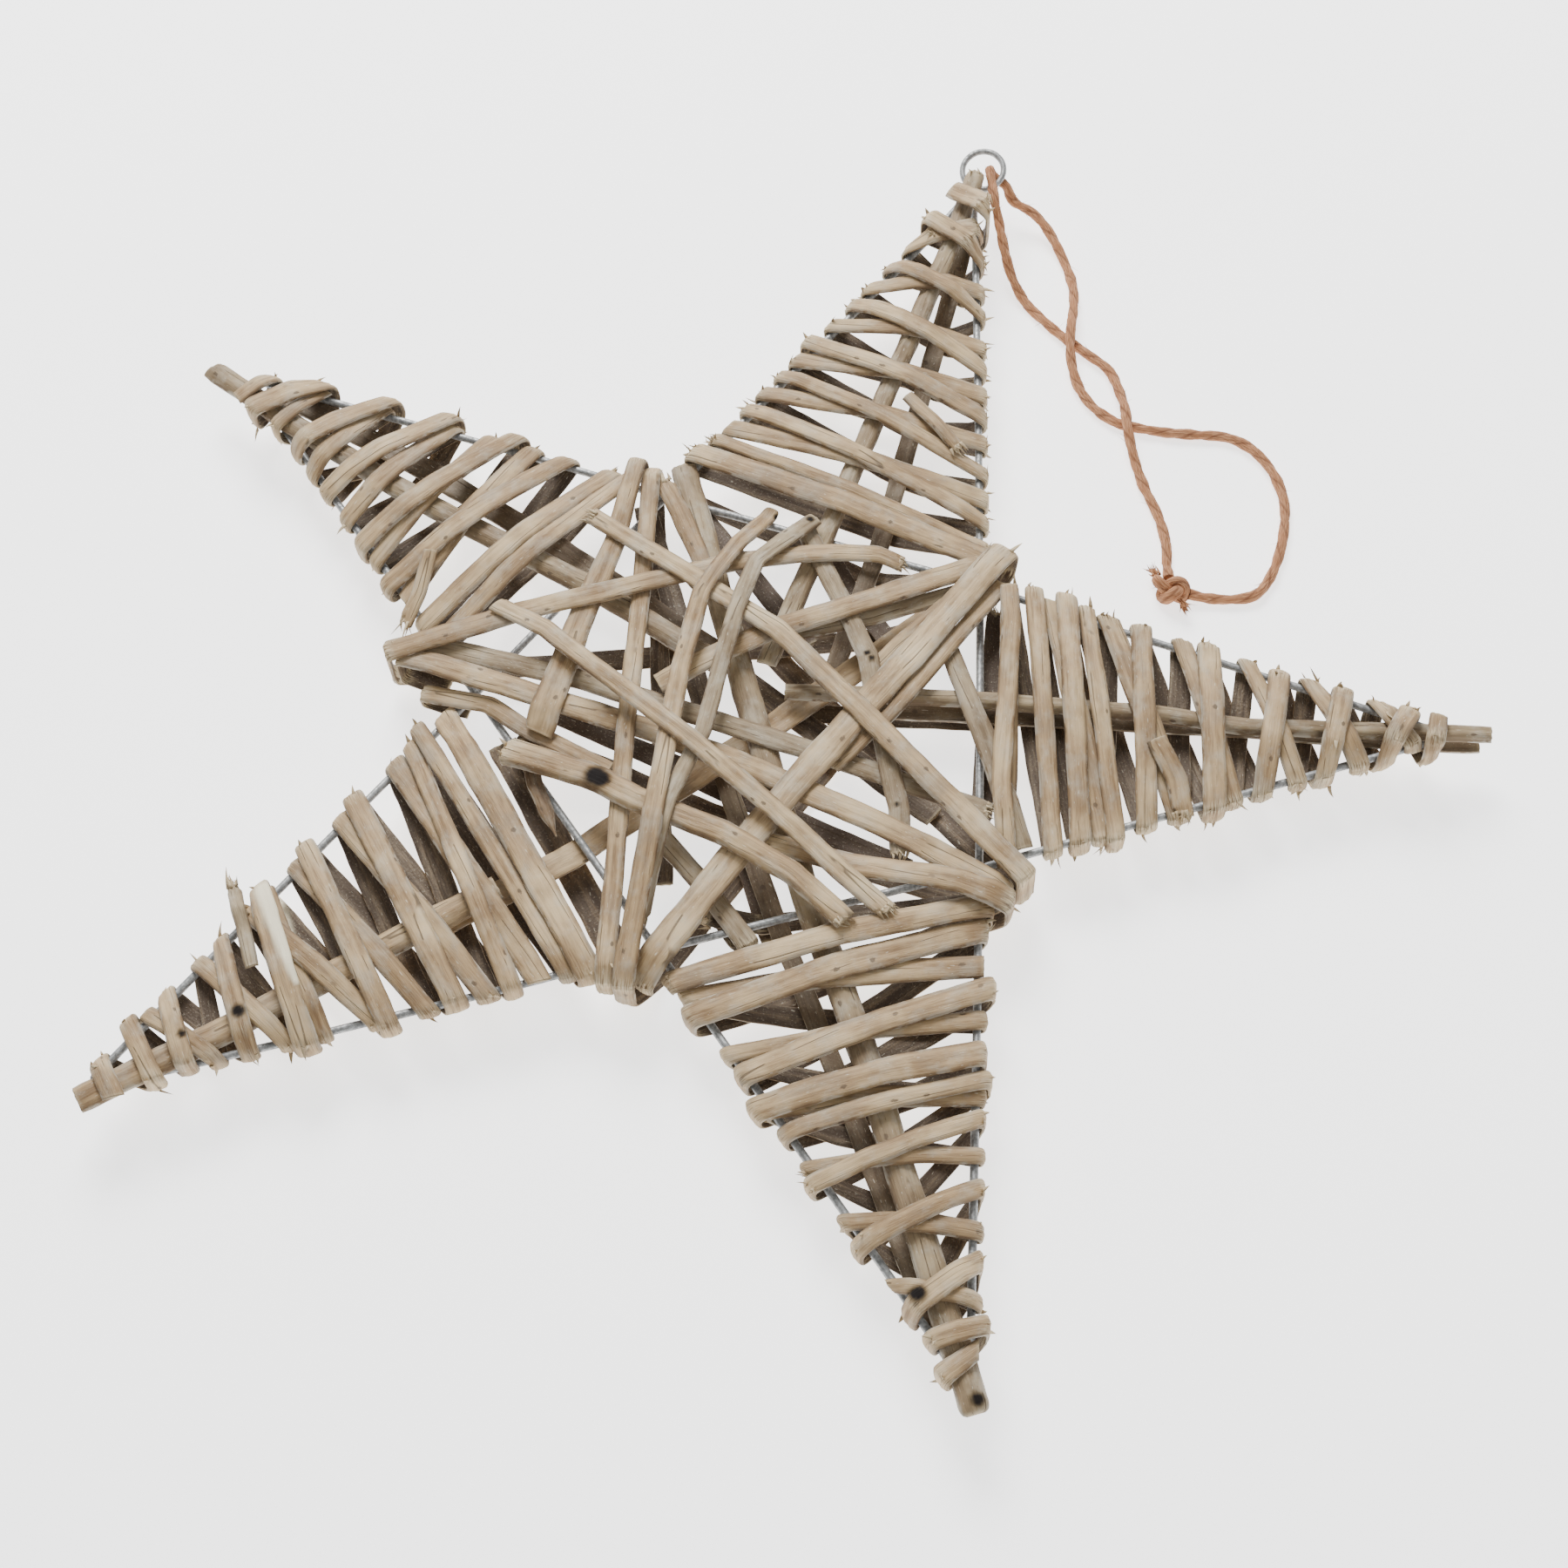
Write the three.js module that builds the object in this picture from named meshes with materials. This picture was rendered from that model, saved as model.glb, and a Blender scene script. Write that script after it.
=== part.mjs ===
// Wicker star: a five-pointed frame of bent wire with willow rods laid across it, two long willow strips
// wound round each arm and loose strips crossed over the middle. A ring with a twine loop hangs it up.
// The star lies on its back. +Z is its front and +Y points to the arm that carries the ring.

import * as THREE from 'three';

// Driving dimensions in millimetres
const tipSpan = 400;
const wireDiameter = 2.3;
const tipBendRadius = 2.2;
const ringOuterDiameter = 15.8;
const ringWireDiameter = 2;
const ringTilt = 17;
const hookReach = 2.6;
const rodWidth = 6.5;
const rodThickness = 3;
const stripWidth = 6.4;
const stripThickness = 1.4;
const tuckLength = 12;
const twineDiameter = 3.3;
const knotSize = { length: 12, width: 9, height: 7.5 };
const rodCrown = 0.6;
const stripCrown = 0.75;
const clearance = 0.3;

// Every place in the tables below is given in four-hundredths of the span from tip to tip
const unit = tipSpan / 400;
const golden = (Math.sqrt(5) - 1) / 2;
const tipRadius = tipSpan / (2 * Math.sin(THREE.MathUtils.degToRad(72)));
const wireRadius = wireDiameter / 2;
const arms = 5;

// How far the hand-bent tips stand off a regular star, and how far each wire bows outwards at its middle
const tipOffsets = [[0.4, 3.7], [3.5, -1.1], [-4.1, -2.5], [3.2, 3.5], [-3, -3.5]];
const wireBows = [1, -0.5, 3, 2.3, 3];

// The turns of each arm: distance from the tip along the left wire, the same along the right wire, and
// the strip's width there as a share of the plain width. The first winding lies under the second one.
const underTurns = [
  [[33, 20, 1.15], [55, 44, 1], [74, 67, 1], [92, 86, 1.1], [109, 105, 1], [126, 126, 1.1]],
  [[26, 27, 0.85], [47, 48, 1.1], [69, 72, 1.1], [88, 86, 1], [106, 100, 1.15]],
  [[38, 27, 0.85], [58, 47, 0.9], [68, 75, 0.75], [83, 67, 1], [97, 86, 1], [114, 105, 1.1],
    [129, 128, 1.15]],
  [[22, 33, 0.75], [41, 54, 0.85], [62, 72, 0.75], [79, 92, 1], [101, 111, 0.9], [117, 132, 1.1]],
  [[23, 13, 0.9], [43, 29, 1], [62, 48, 0.9], [82, 68, 1], [105, 84, 1.15], [123, 107, 1.1]],
];
const overTurns = [
  [[8, 16, 1.3], [23, 31, 1.1], [44, 54, 0.9], [63, 76, 1], [85, 95, 1], [100, 117, 0.85],
    [117, 135, 0.9], [133, 144, 0.75], [142, 150, 1.25]],
  [[9, 9, 0.85], [16, 27, 1.25], [37, 50, 1.1], [56, 71, 1.15], [81, 94, 1.1], [99, 112, 1.1],
    [117, 127, 1.1], [126, 134, 1]],
  [[10, 9, 1], [21, 22, 0.9], [30, 35, 0.9], [47, 56, 0.9], [63, 74, 1.1], [86, 92, 1], [105, 112, 1.1],
    [121, 135, 0.9], [137, 140, 0.85], [143, 149, 1.25]],
  [[9, 6, 1], [15, 15, 0.9], [33, 24, 1], [53, 46, 0.9], [72, 67, 0.85], [83, 83, 0.85], [90, 93, 1.2],
    [110, 103, 1.15], [128, 126, 1.25], [135, 138, 1.15]],
  [[5, 8, 0.85], [13, 21, 1], [33, 40, 1], [52, 59, 1], [74, 74, 1.1], [95, 94, 1], [112, 104, 0.85],
    [119, 114, 1], [129, 122, 0.9], [136, 136, 0.9]],
];

// The rods, from the lowest up: distance from the arm's tip and offset to its right, seen tip up
const frontRods = [
  { arm: 2, width: 1.3, route: [[-2, -3], [40, -6.7], [90, -9], [126, -10.4]] },
  { arm: 3, width: 1.28, route: [[-7, 0.4], [100, 0.5], [145, 3], [215, 2], [299, 0]] },
  { arm: 0, width: 1, route: [[-4, -1.2], [20, 0.6], [150, 0.6], [197, 0]] },
  { arm: 4, width: 0.85, route: [[-11, 0.4], [60, 0], [84, -3.6], [140, -7], [194, -8]] },
  { arm: 1, width: 1.15, route: [[-11, -5], [30, -5.7], [80, -4], [145, 2.5], [195, 4]] },
];
const backRods = [
  { arm: 2, width: 1.3, route: [[98, -9.2], [150, -11.5], [220, -7], [300, 0]] },
  { arm: 0, width: 0.92, route: [[14, 2], [32, 4.5], [140, 16], [190, 18]] },
  { arm: 1, width: 1.2, route: [[14, 3], [32, 5], [72, 8.4], [125, 10.7], [190, 10]] },
  { arm: 3, width: 0.92, route: [[18, 4], [38, 5.3], [78, 7.6], [150, 13], [195, 15]] },
  { arm: 4, width: 0.92, route: [[-8.5, 1.4], [20, 0.6], [60, -1.9], [140, -4.4], [172, -5.5]] },
];

// The strips crossed over the middle, from the lowest up. A hooked end folds over the edge of the star
// and runs on at the back, to the tuck given here or for the plain tuck length.
const centreStrips = [
  { name: 'edge_strip_lower_left', width: [0.8, 0.7], route: [[-56, -30], [-48, -43], [-35, -57]] },
  { name: 'edge_strip_bottom', width: [1, 1], route: [[-12, -44], [10, -57], [29, -70]], hookEnd: true },
  { name: 'cross_strip_low', width: [1.1, 1], route: [[-90, -11], [-50, -8], [5, -8], [40, -8], [80, -9]],
    hookStart: true },
  { name: 'fan_strip_right_inner', width: [0.9, 0.9], route: [[51, 63], [26, 42], [2, 26]] },
  { name: 'fan_strip_right_short', width: [0.85, 0.8], route: [[48, 58], [36, 34], [32, 22]] },
  { name: 'cracked_strip', width: [0.95, 1], route: [[-7, 68], [15, 44], [30, 27], [40, 8],
    [55, -17], [61, -32]] },
  { name: 'edge_strip_right_short', width: [0.9, 1.1], route: [[50, 40], [60, 27], [70, 14], [92, -17]] },
  { name: 'fan_strip_left_low', width: [0.95, 0.9], route: [[-91, -26], [-71, -24], [-58, -28],
    [-28, -33]], hookStart: true },
  { name: 'long_strip_right', width: [1.15, 1.15], route: [[51, 70], [20, 42], [0, 25], [-25, -3]] },
  { name: 'cross_strip_middle', width: [1.15, 1.2], route: [[-93, -18], [-56, -18], [-20, -18], [12, -20],
    [52, -25], [92, -32]], hookStart: true, hookEnd: true, tuckEnd: [-60, -28] },
  { name: 'fan_strip_left_short', width: [1, 0.95], route: [[-52, 67], [-43, 58], [-24, 37]] },
  { name: 'long_strip_left', width: [0.9, 0.9], route: [[-57, 71], [-42, 26], [-28, -20], [-12, -68],
    [-5, -91]], hookStart: true, hookEnd: true, tuckStart: [-2, -58] },
  { name: 'upright_strip_left', width: [0.85, 1.5], route: [[-61, 68], [-56, 40], [-55, 13], [-52, -30]],
    hookStart: true, tuckStart: [36, 62] },
  { name: 'rising_strip_left', width: [1.15, 0.9], route: [[-95, -11], [-72, 6], [-51, 20], [-19, 44],
    [-1, 54], [20, 64], [28, 64]], hookStart: true, tuckStart: [36, 48] },
  { name: 'fan_strip_right_outer', width: [0.85, 0.75], route: [[59, 66], [50, 34], [43, 10],
    [33, -12]] },
  { name: 'edge_strip_right', width: [0.9, 0.9], route: [[61, 65], [66, 53], [80, 0], [90, -24]] },
  { name: 'edge_strip_lower_right', width: [1.25, 1], route: [[91, -35], [79, -35], [49, -40], [22, -40]],
    hookStart: true },
  { name: 'wide_strip_right', width: [1.4, 1.45], route: [[56, 77], [42, 29], [23, -29], [17, -48],
    [5, -91]], hookStart: true, hookEnd: true, tuckEnd: [-64, -32] },
  { name: 'thick_rod_end', width: [1.4, 1.05], thickness: 2, route: [[-59, -37], [-33, -39], [-16, -42],
    [12, -44], [34, -49], [54, -58]] },
  { name: 'long_strip_top', width: [0.9, 1.15], route: [[-66, 44], [-48, 39], [-27, 33], [3, 24], [47, 0],
    [91, -24]], hookEnd: true, tuckEnd: [-36, 48] },
  { name: 'upright_strip_right', width: [0.9, 0.75], route: [[-2, 68], [-12, 45], [-11, 25], [-5, -16],
    [-6, -41], [-2, -74]] },
  { name: 'kinked_strip', width: [0.85, 1], route: [[-17, 71], [-23, 28], [-19, 2], [-7, -51], [1, -90]],
    hookEnd: true, tuckEnd: [40, 44] },
  { name: 'slanting_strip_top', width: [0.9, 1], route: [[-81, 5], [-62, 1], [-43, -7], [-18, -17], [23,
    -33], [47, -44], [64, -51]] },
];

// Strips crossed over the middle at the back only, from the one next to the wire outwards
const backStrips = [
  { name: 'back_strip_right', width: 1, route: [[59, 62], [78, -12]] },
  { name: 'back_strip_lower_right', width: 1, route: [[86, -32], [14, -66]] },
  { name: 'back_strip_middle', width: 1.2, route: [[-8, 15], [64, -11]] },
  { name: 'back_strip_low', width: 1.05, route: [[-54, -16], [62, -28]] },
  { name: 'back_strip_rising', width: 1, route: [[4, 7], [68, 25]] },
  { name: 'back_strip_top', width: 1, route: [[-5, 71], [38, 37]] },
  { name: 'back_strip_top_left', width: 1, route: [[-50, 72], [10, 30]] },
  { name: 'back_strip_left', width: 1.1, route: [[-56, 60], [-12, 0]] },
  { name: 'back_strip_lower_middle', width: 1.1, route: [[9, -30], [33, -62]] },
];

// Loose cut ends that stand out of an arm's winding: points as distance from the tip and offset right
const looseEnds = [
  { name: 'arm_1_broken_strip', arm: 0, width: 0.7, route: [[92, 8], [98, 18], [106, 30]] },
  { name: 'arm_2_cut_end', arm: 1, width: 0.75, route: [[98, -18], [104, -30], [107, -41]] },
  { name: 'arm_3_cut_end', arm: 2, width: 0.65, route: [[56, 4], [60, 18], [63, 31]] },
  { name: 'arm_5_cut_end', arm: 4, width: 1, route: [[86, 8], [80, 20], [78, 31]] },
];

// The twine loop's two strands in plan, in the same units: from the ring outwards to the knot
const strandOver = [[11.4, 206.7], [16.1, 198.9], [21.4, 191.4], [28.3, 185.5], [37.2, 179.6], [45.9, 174.9],
  [53.8, 171.5], [62.5, 167.2], [68.4, 159.2], [72.6, 151.3], [75.6, 144.2], [81.1, 134.5], [86.6, 126.4],
  [93.9, 117.2], [99.2, 107.9], [101.7, 100.4]];
const strandUnder = [[12.6, 220], [20.1, 219], [27.1, 214.8], [35.5, 205.8], [41.3, 196.3], [44.4, 186.4],
  [46.3, 177.3], [49.4, 167.3], [54.7, 158.2], [62.1, 151.4], [70.4, 148], [76.5, 147.9], [86.5, 149.1],
  [96.2, 151.4], [105.9, 153.6], [114.3, 151.8], [122.1, 146.2], [128.2, 138], [131.4, 129.3], [133.2, 117.4],
  [132.9, 106.3], [130.3, 98.6], [123.9, 94.6], [116.6, 92.6]];
const knotPlace = [105.5, 90.5];
const strandCrossings = { first: [46.5, 174.8], second: [74.2, 147.8] };

// Where the twine passes the ring, from its front to its back, as shares of the room in the ring's eye
const throughEye = [[1.95, -2.9, 1], [1.4, -1.75, 1.1], [0.95, -0.85, 1.05], [0.66, -0.2, 0.72],
  [0.6, 0.1, 0], [0.8, 0.2, -0.72], [1.3, 0.1, -1.05], [2.2, -0.26, -1.1]];

// Finishes
const finishes = {
  wire: new THREE.MeshStandardMaterial({ color: 0xa0a2a2, roughness: 0.45, metalness: 0.9 }),
  rod: new THREE.MeshStandardMaterial({ color: 0x968a78, roughness: 0.85, metalness: 0 }),
  strip: new THREE.MeshStandardMaterial({ color: 0xb9a891, roughness: 0.8, metalness: 0 }),
  backStrip: new THREE.MeshStandardMaterial({ color: 0x78695c, roughness: 0.85, metalness: 0 }),
  twine: new THREE.MeshStandardMaterial({ color: 0xbe825f, roughness: 0.9, metalness: 0 }),
};

// Star layout

const tips = tipOffsets.map(([dx, dy], i) => {
  const angle = THREE.MathUtils.degToRad(90 + 72 * i);
  return new THREE.Vector2(Math.cos(angle), Math.sin(angle)).multiplyScalar(tipRadius)
    .add(new THREE.Vector2(dx, dy).multiplyScalar(unit));
});

const quarterLeft = (v) => new THREE.Vector2(-v.y, v.x);
const quarterRight = (v) => new THREE.Vector2(v.y, -v.x);

// Height of a wire above the star's plane: one pass goes over and the other under where two wires cross
function crossingHeight(share) {
  const lift = (wireDiameter + clearance) / 2;
  const spread = 0.06;
  const bump = (centre) => Math.exp(-(((share - centre) / spread) ** 2));
  return lift * (bump(1 - golden) - bump(golden));
}

// At the ring the two wires part so that the ring passes between them
function hookHeight(distance) {
  const parted = wireRadius + ringWireDiameter / 2 + clearance;
  const rampStart = 5 * unit;
  const rampLength = 20 * unit;
  return parted * THREE.MathUtils.clamp(1 - (distance - rampStart) / rampLength, 0, 1);
}

// Point, direction and height of the wire from tip i to tip i+2, at a share of its length
function wireAt(i, share) {
  const from = tips[i];
  const to = tips[(i + 2) % arms];
  const along = to.clone().sub(from);
  const length = along.length();
  along.normalize();
  const outward = from.clone().add(to).normalize();
  const bow = wireBows[i] * unit;
  const place = from.clone().addScaledVector(along, share * length)
    .addScaledVector(outward, bow * Math.sin(Math.PI * share));
  let height = crossingHeight(share);
  if (i === 0) height += hookHeight(share * length);
  if ((i + 2) % arms === 0) height -= hookHeight((1 - share) * length);
  return { place, along, outward, height, length };
}

// The wire on one side of an arm, at a distance from the tip, with its outward side
function armWire(arm, side, distance) {
  const wire = side === 'left' ? arm : (arm + 3) % arms;
  const length = wireAt(wire, 0.5).length;
  const share = side === 'left' ? distance / length : 1 - distance / length;
  const found = wireAt(wire, share);
  const towardsBase = side === 'left' ? found.along : found.along.clone().negate();
  return { place: found.place, towardsBase, outward: found.outward, height: found.height };
}

// Base of an arm: its axis from the tip inwards, and the direction to its right seen tip up
function armAxes(arm) {
  const left = armWire(arm, 'left', 150 * unit).place;
  const right = armWire(arm, 'right', 150 * unit).place;
  const inward = left.add(right).multiplyScalar(0.5).sub(tips[arm]).normalize();
  return { inward, right: quarterLeft(inward) };
}

function armPoint(arm, distance, offset) {
  const { inward, right } = armAxes(arm);
  return tips[arm].clone().addScaledVector(inward, distance * unit).addScaledVector(right, offset * unit);
}

// Closed surfaces

// Joins equal rings of points into one closed surface, with flat ends unless the rings close on themselves
function loft(rings, closed) {
  const sides = rings[0].length;
  const positions = rings.flat().flatMap((point) => [point.x, point.y, point.z]);
  const index = [];
  const spans = closed ? rings.length : rings.length - 1;
  for (let r = 0; r < spans; r += 1) {
    const next = (r + 1) % rings.length;
    for (let s = 0; s < sides; s += 1) {
      const t = (s + 1) % sides;
      const corners = [r * sides + s, r * sides + t, next * sides + t, next * sides + s];
      index.push(corners[0], corners[1], corners[2], corners[0], corners[2], corners[3]);
    }
  }
  if (!closed) {
    const last = (rings.length - 1) * sides;
    for (let s = 1; s < sides - 1; s += 1) {
      index.push(0, s + 1, s, last, last + s, last + s + 1);
    }
  }
  const geometry = new THREE.BufferGeometry();
  geometry.setAttribute('position', new THREE.Float32BufferAttribute(positions, 3));
  geometry.setIndex(signedVolume(positions, index) < 0 ? index.reverse() : index);
  geometry.computeVertexNormals();
  return geometry;
}

function signedVolume(positions, index) {
  const corner = (k) => new THREE.Vector3().fromArray(positions, 3 * index[k]);
  let volume = 0;
  for (let k = 0; k < index.length; k += 3) {
    volume += corner(k).dot(corner(k + 1).cross(corner(k + 2))) / 6;
  }
  return volume;
}

// A round rod along closed points, its rings turned evenly so that the last one meets the first
function closedTube(points, radius, sides) {
  const count = points.length;
  const tangents = points.map((point, k) => points[(k + 1) % count].clone()
    .sub(points[(k + count - 1) % count]).normalize());
  const carry = (normal, tangent) => normal.clone().addScaledVector(tangent, -normal.dot(tangent))
    .normalize();
  const normals = [carry(new THREE.Vector3(0, 0, 1), tangents[0])];
  for (let k = 1; k <= count; k += 1) {
    normals.push(carry(normals[k - 1], tangents[k % count]));
  }
  const side = new THREE.Vector3().crossVectors(tangents[0], normals[0]);
  const drift = Math.atan2(normals[count].dot(side), normals[count].dot(normals[0]));
  const rings = points.map((point, k) => {
    const across = new THREE.Vector3().crossVectors(tangents[k], normals[k]);
    const turned = -drift * k / count;
    return Array.from({ length: sides }, (unused, s) => {
      const angle = turned + 2 * Math.PI * s / sides;
      return point.clone().addScaledVector(normals[k], radius * Math.cos(angle))
        .addScaledVector(across, radius * Math.sin(angle));
    });
  });
  return loft(rings, true);
}

// A strip or rod of flat section: each station has a point on its inner side and half its width as a vector
function ribbon(stations, thickness, crown) {
  const normals = stations.slice(1).map((station, k) => new THREE.Vector3()
    .addVectors(stations[k].half, station.half).cross(station.inner.clone().sub(stations[k].inner))
    .normalize());
  const rings = stations.map(({ inner, half }, k) => {
    const before = normals[Math.max(k - 1, 0)];
    const after = normals[Math.min(k, normals.length - 1)];
    const mitre = before.clone().add(after).multiplyScalar(thickness / (1 + before.dot(after)));
    const outer = inner.clone().add(mitre);
    return [inner.clone().sub(half), inner.clone().add(half),
      outer.clone().addScaledVector(half, crown), outer.clone().addScaledVector(half, -crown)];
  });
  return loft(rings, false);
}

// Laying strips over what is already there

// Highest point of what lies on one face of the star, on a fine grid. Heights count outwards from the
// star's plane, so the same rules serve the front, sign 1, and the back, sign -1.
class Bed {
  constructor(sign) {
    this.sign = sign;
    this.cell = 1;
    this.reach = Math.ceil(tipRadius + 40);
    this.count = Math.ceil(2 * this.reach / this.cell) + 1;
    this.heights = new Float32Array(this.count * this.count).fill(-Infinity);
  }

  // Notes one straight piece from a to b whose outer side is at heights ha and hb
  lay(a, b, ha, hb, halfWidth) {
    const spread = this.cell;
    const along = b.clone().sub(a);
    const length = along.length();
    along.normalize();
    const margin = halfWidth + spread;
    const first = (low) => Math.max(0, Math.floor((low - margin + this.reach) / this.cell));
    const last = (high) => Math.min(this.count - 1, Math.ceil((high + margin + this.reach) / this.cell));
    for (let row = first(Math.min(a.y, b.y)); row <= last(Math.max(a.y, b.y)); row += 1) {
      for (let column = first(Math.min(a.x, b.x)); column <= last(Math.max(a.x, b.x)); column += 1) {
        const dx = column * this.cell - this.reach - a.x;
        const dy = row * this.cell - this.reach - a.y;
        const run = dx * along.x + dy * along.y;
        const aside = Math.abs(dx * along.y - dy * along.x);
        if (run < -spread || run > length + spread || aside > margin) continue;
        const height = ha + (hb - ha) * THREE.MathUtils.clamp(run / length, 0, 1);
        const place = row * this.count + column;
        this.heights[place] = Math.max(this.heights[place], height);
      }
    }
  }

  // Highest point under a strip's whole width at one place
  support(place, across, halfWidth) {
    const samples = Math.ceil(2 * halfWidth / this.cell) + 1;
    let highest = -Infinity;
    for (let k = 0; k < samples; k += 1) {
      const offset = halfWidth * (2 * k / (samples - 1) - 1);
      const column = Math.round((place.x + across.x * offset + this.reach) / this.cell);
      const row = Math.round((place.y + across.y * offset + this.reach) / this.cell);
      highest = Math.max(highest, this.heights[row * this.count + column]);
    }
    return highest;
  }
}

const front = new Bed(1);
const back = new Bed(-1);

// Upright faces in plan, as rectangles that no later fold may cut
const blocks = [];

function addBlock(a, b, halfWidth) {
  const along = b.clone().sub(a);
  const half = along.length() / 2;
  blocks.push({ centre: a.clone().add(b).multiplyScalar(0.5), along: along.normalize(), half, halfWidth });
}

function blocksMeet(one, other) {
  const apart = other.centre.clone().sub(one.centre);
  const axes = [one.along, quarterLeft(one.along), other.along, quarterLeft(other.along)];
  return axes.every((axis) => {
    const extent = (block) => block.half * Math.abs(block.along.dot(axis))
      + block.halfWidth * Math.abs(quarterLeft(block.along).dot(axis));
    return Math.abs(apart.dot(axis)) < extent(one) + extent(other);
  });
}

// First place outwards from the start where a strip can fold from the front to the back
function freeFold(start, outward, halfWidth, thickness) {
  const step = 0.25;
  const furthest = 50;
  for (let distance = 0; distance < furthest; distance += step) {
    const place = start.clone().addScaledVector(outward, distance);
    const fold = {
      centre: place.clone().addScaledVector(outward, thickness / 2),
      along: outward,
      half: thickness / 2 + clearance,
      halfWidth: halfWidth + clearance / 2,
    };
    if (!blocks.some((block) => blocksMeet(block, fold))) return place;
  }
  return start;
}

// Pulls a strip taut over the bed along a plan route, and returns its few bends as stations
function drape(bed, route, halfWidths, ends) {
  const samples = [];
  for (let leg = 0; leg < route.length - 1; leg += 1) {
    const from = route[leg];
    const to = route[leg + 1];
    const along = to.clone().sub(from);
    const steps = Math.max(1, Math.ceil(along.length()));
    const across = quarterRight(along.clone().normalize());
    for (let k = leg ? 1 : 0; k <= steps; k += 1) {
      const share = k / steps;
      const place = from.clone().lerp(to, share);
      const halfWidth = THREE.MathUtils.lerp(halfWidths[leg], halfWidths[leg + 1], share);
      const distance = samples.length ? samples.at(-1).distance + place.distanceTo(samples.at(-1).place) : 0;
      const height = bed.support(place, across, halfWidth) + clearance;
      samples.push({ place, distance, halfWidth, height, corner: k === steps || samples.length === 0 });
    }
  }
  samples[0].height = Math.max(samples[0].height, ends[0]);
  samples.at(-1).height = Math.max(samples.at(-1).height, ends[1]);
  const taut = upperHull(samples.filter((sample) => Number.isFinite(sample.height)));
  const heightAt = (wanted) => {
    const distance = THREE.MathUtils.clamp(wanted, taut[0].distance, taut.at(-1).distance);
    const k = Math.max(1, taut.findIndex((sample) => sample.distance >= distance));
    const share = (distance - taut[k - 1].distance) / (taut[k].distance - taut[k - 1].distance);
    return THREE.MathUtils.lerp(taut[k - 1].height, taut[k].height, share);
  };
  return samples.filter((sample) => sample.corner || taut.includes(sample))
    .map(({ place, halfWidth, distance }) => ({ place, halfWidth, height: heightAt(distance) }));
}

// Upper concave hull of samples along a line, without the bends that hardly change it
function upperHull(samples) {
  const slope = (a, b) => (b.height - a.height) / (b.distance - a.distance);
  const hull = [];
  for (const sample of samples) {
    while (hull.length > 1 && slope(hull.at(-2), hull.at(-1)) <= slope(hull.at(-1), sample)) hull.pop();
    hull.push(sample);
  }
  const sag = (k) => {
    const share = (hull[k].distance - hull[k - 1].distance) / (hull[k + 1].distance - hull[k - 1].distance);
    return hull[k].height - THREE.MathUtils.lerp(hull[k - 1].height, hull[k + 1].height, share);
  };
  for (let k = hull.length - 2; k > 0; k -= 1) {
    if (sag(k) < clearance / 2) hull.splice(k, 1);
  }
  return hull;
}

// Notes a draped run on its bed and in plan, and turns it into stations in space. Where an end folds over
// an edge, the outward direction there is given, and the corner of the fold is noted too.
function settle(bed, run, thickness, outwards = []) {
  const stations = run.map(({ place, halfWidth, height }, k) => {
    const before = run[Math.max(k - 1, 0)].place;
    const after = run[Math.min(k + 1, run.length - 1)].place;
    const along = after.clone().sub(before).normalize();
    const across = bed.sign > 0 ? quarterRight(along) : quarterLeft(along);
    return {
      inner: new THREE.Vector3(place.x, place.y, bed.sign * height),
      half: new THREE.Vector3(across.x, across.y, 0).multiplyScalar(halfWidth),
    };
  });
  for (let k = 1; k < run.length; k += 1) {
    const [a, b] = [run[k - 1], run[k]];
    const slope = (b.height - a.height) / a.place.distanceTo(b.place);
    const raised = thickness * Math.sqrt(1 + slope * slope);
    const halfWidth = Math.max(a.halfWidth, b.halfWidth);
    bed.lay(a.place, b.place, a.height + raised, b.height + raised, halfWidth);
    addBlock(a.place, b.place, halfWidth);
  }
  [run[0], run.at(-1)].forEach(({ place, height, halfWidth }, k) => {
    if (!outwards[k]) return;
    const edge = place.clone().addScaledVector(outwards[k], thickness);
    bed.lay(place, edge, height + thickness, height + thickness, halfWidth);
  });
  return stations;
}

// Pieces

const group = new THREE.Group();

function addPiece(name, geometry, finish) {
  const mesh = new THREE.Mesh(geometry, finishes[finish]);
  mesh.name = name;
  group.add(mesh);
  return mesh;
}

// One closed wire through the five tips, round each bend, with a hook for the ring at the first tip
function wireRoute() {
  const inner = [0.08, 0.2, 0.3, 1 - golden, 0.44, 0.56, golden, 0.7, 0.8, 0.92];
  const points = [];
  const spatial = (place, height) => new THREE.Vector3(place.x, place.y, height);
  for (let k = 0; k < arms; k += 1) {
    const wire = (2 * k) % arms;
    const length = wireAt(wire, 0).length;
    const bendShare = tipBendRadius / Math.tan(THREE.MathUtils.degToRad(18)) / length;
    for (const share of [bendShare, ...inner, 1 - bendShare]) {
      const { place, height } = wireAt(wire, share);
      points.push(spatial(place, height));
    }
    points.push(...tipBend((wire + 2) % arms));
  }
  return points;
}

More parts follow.
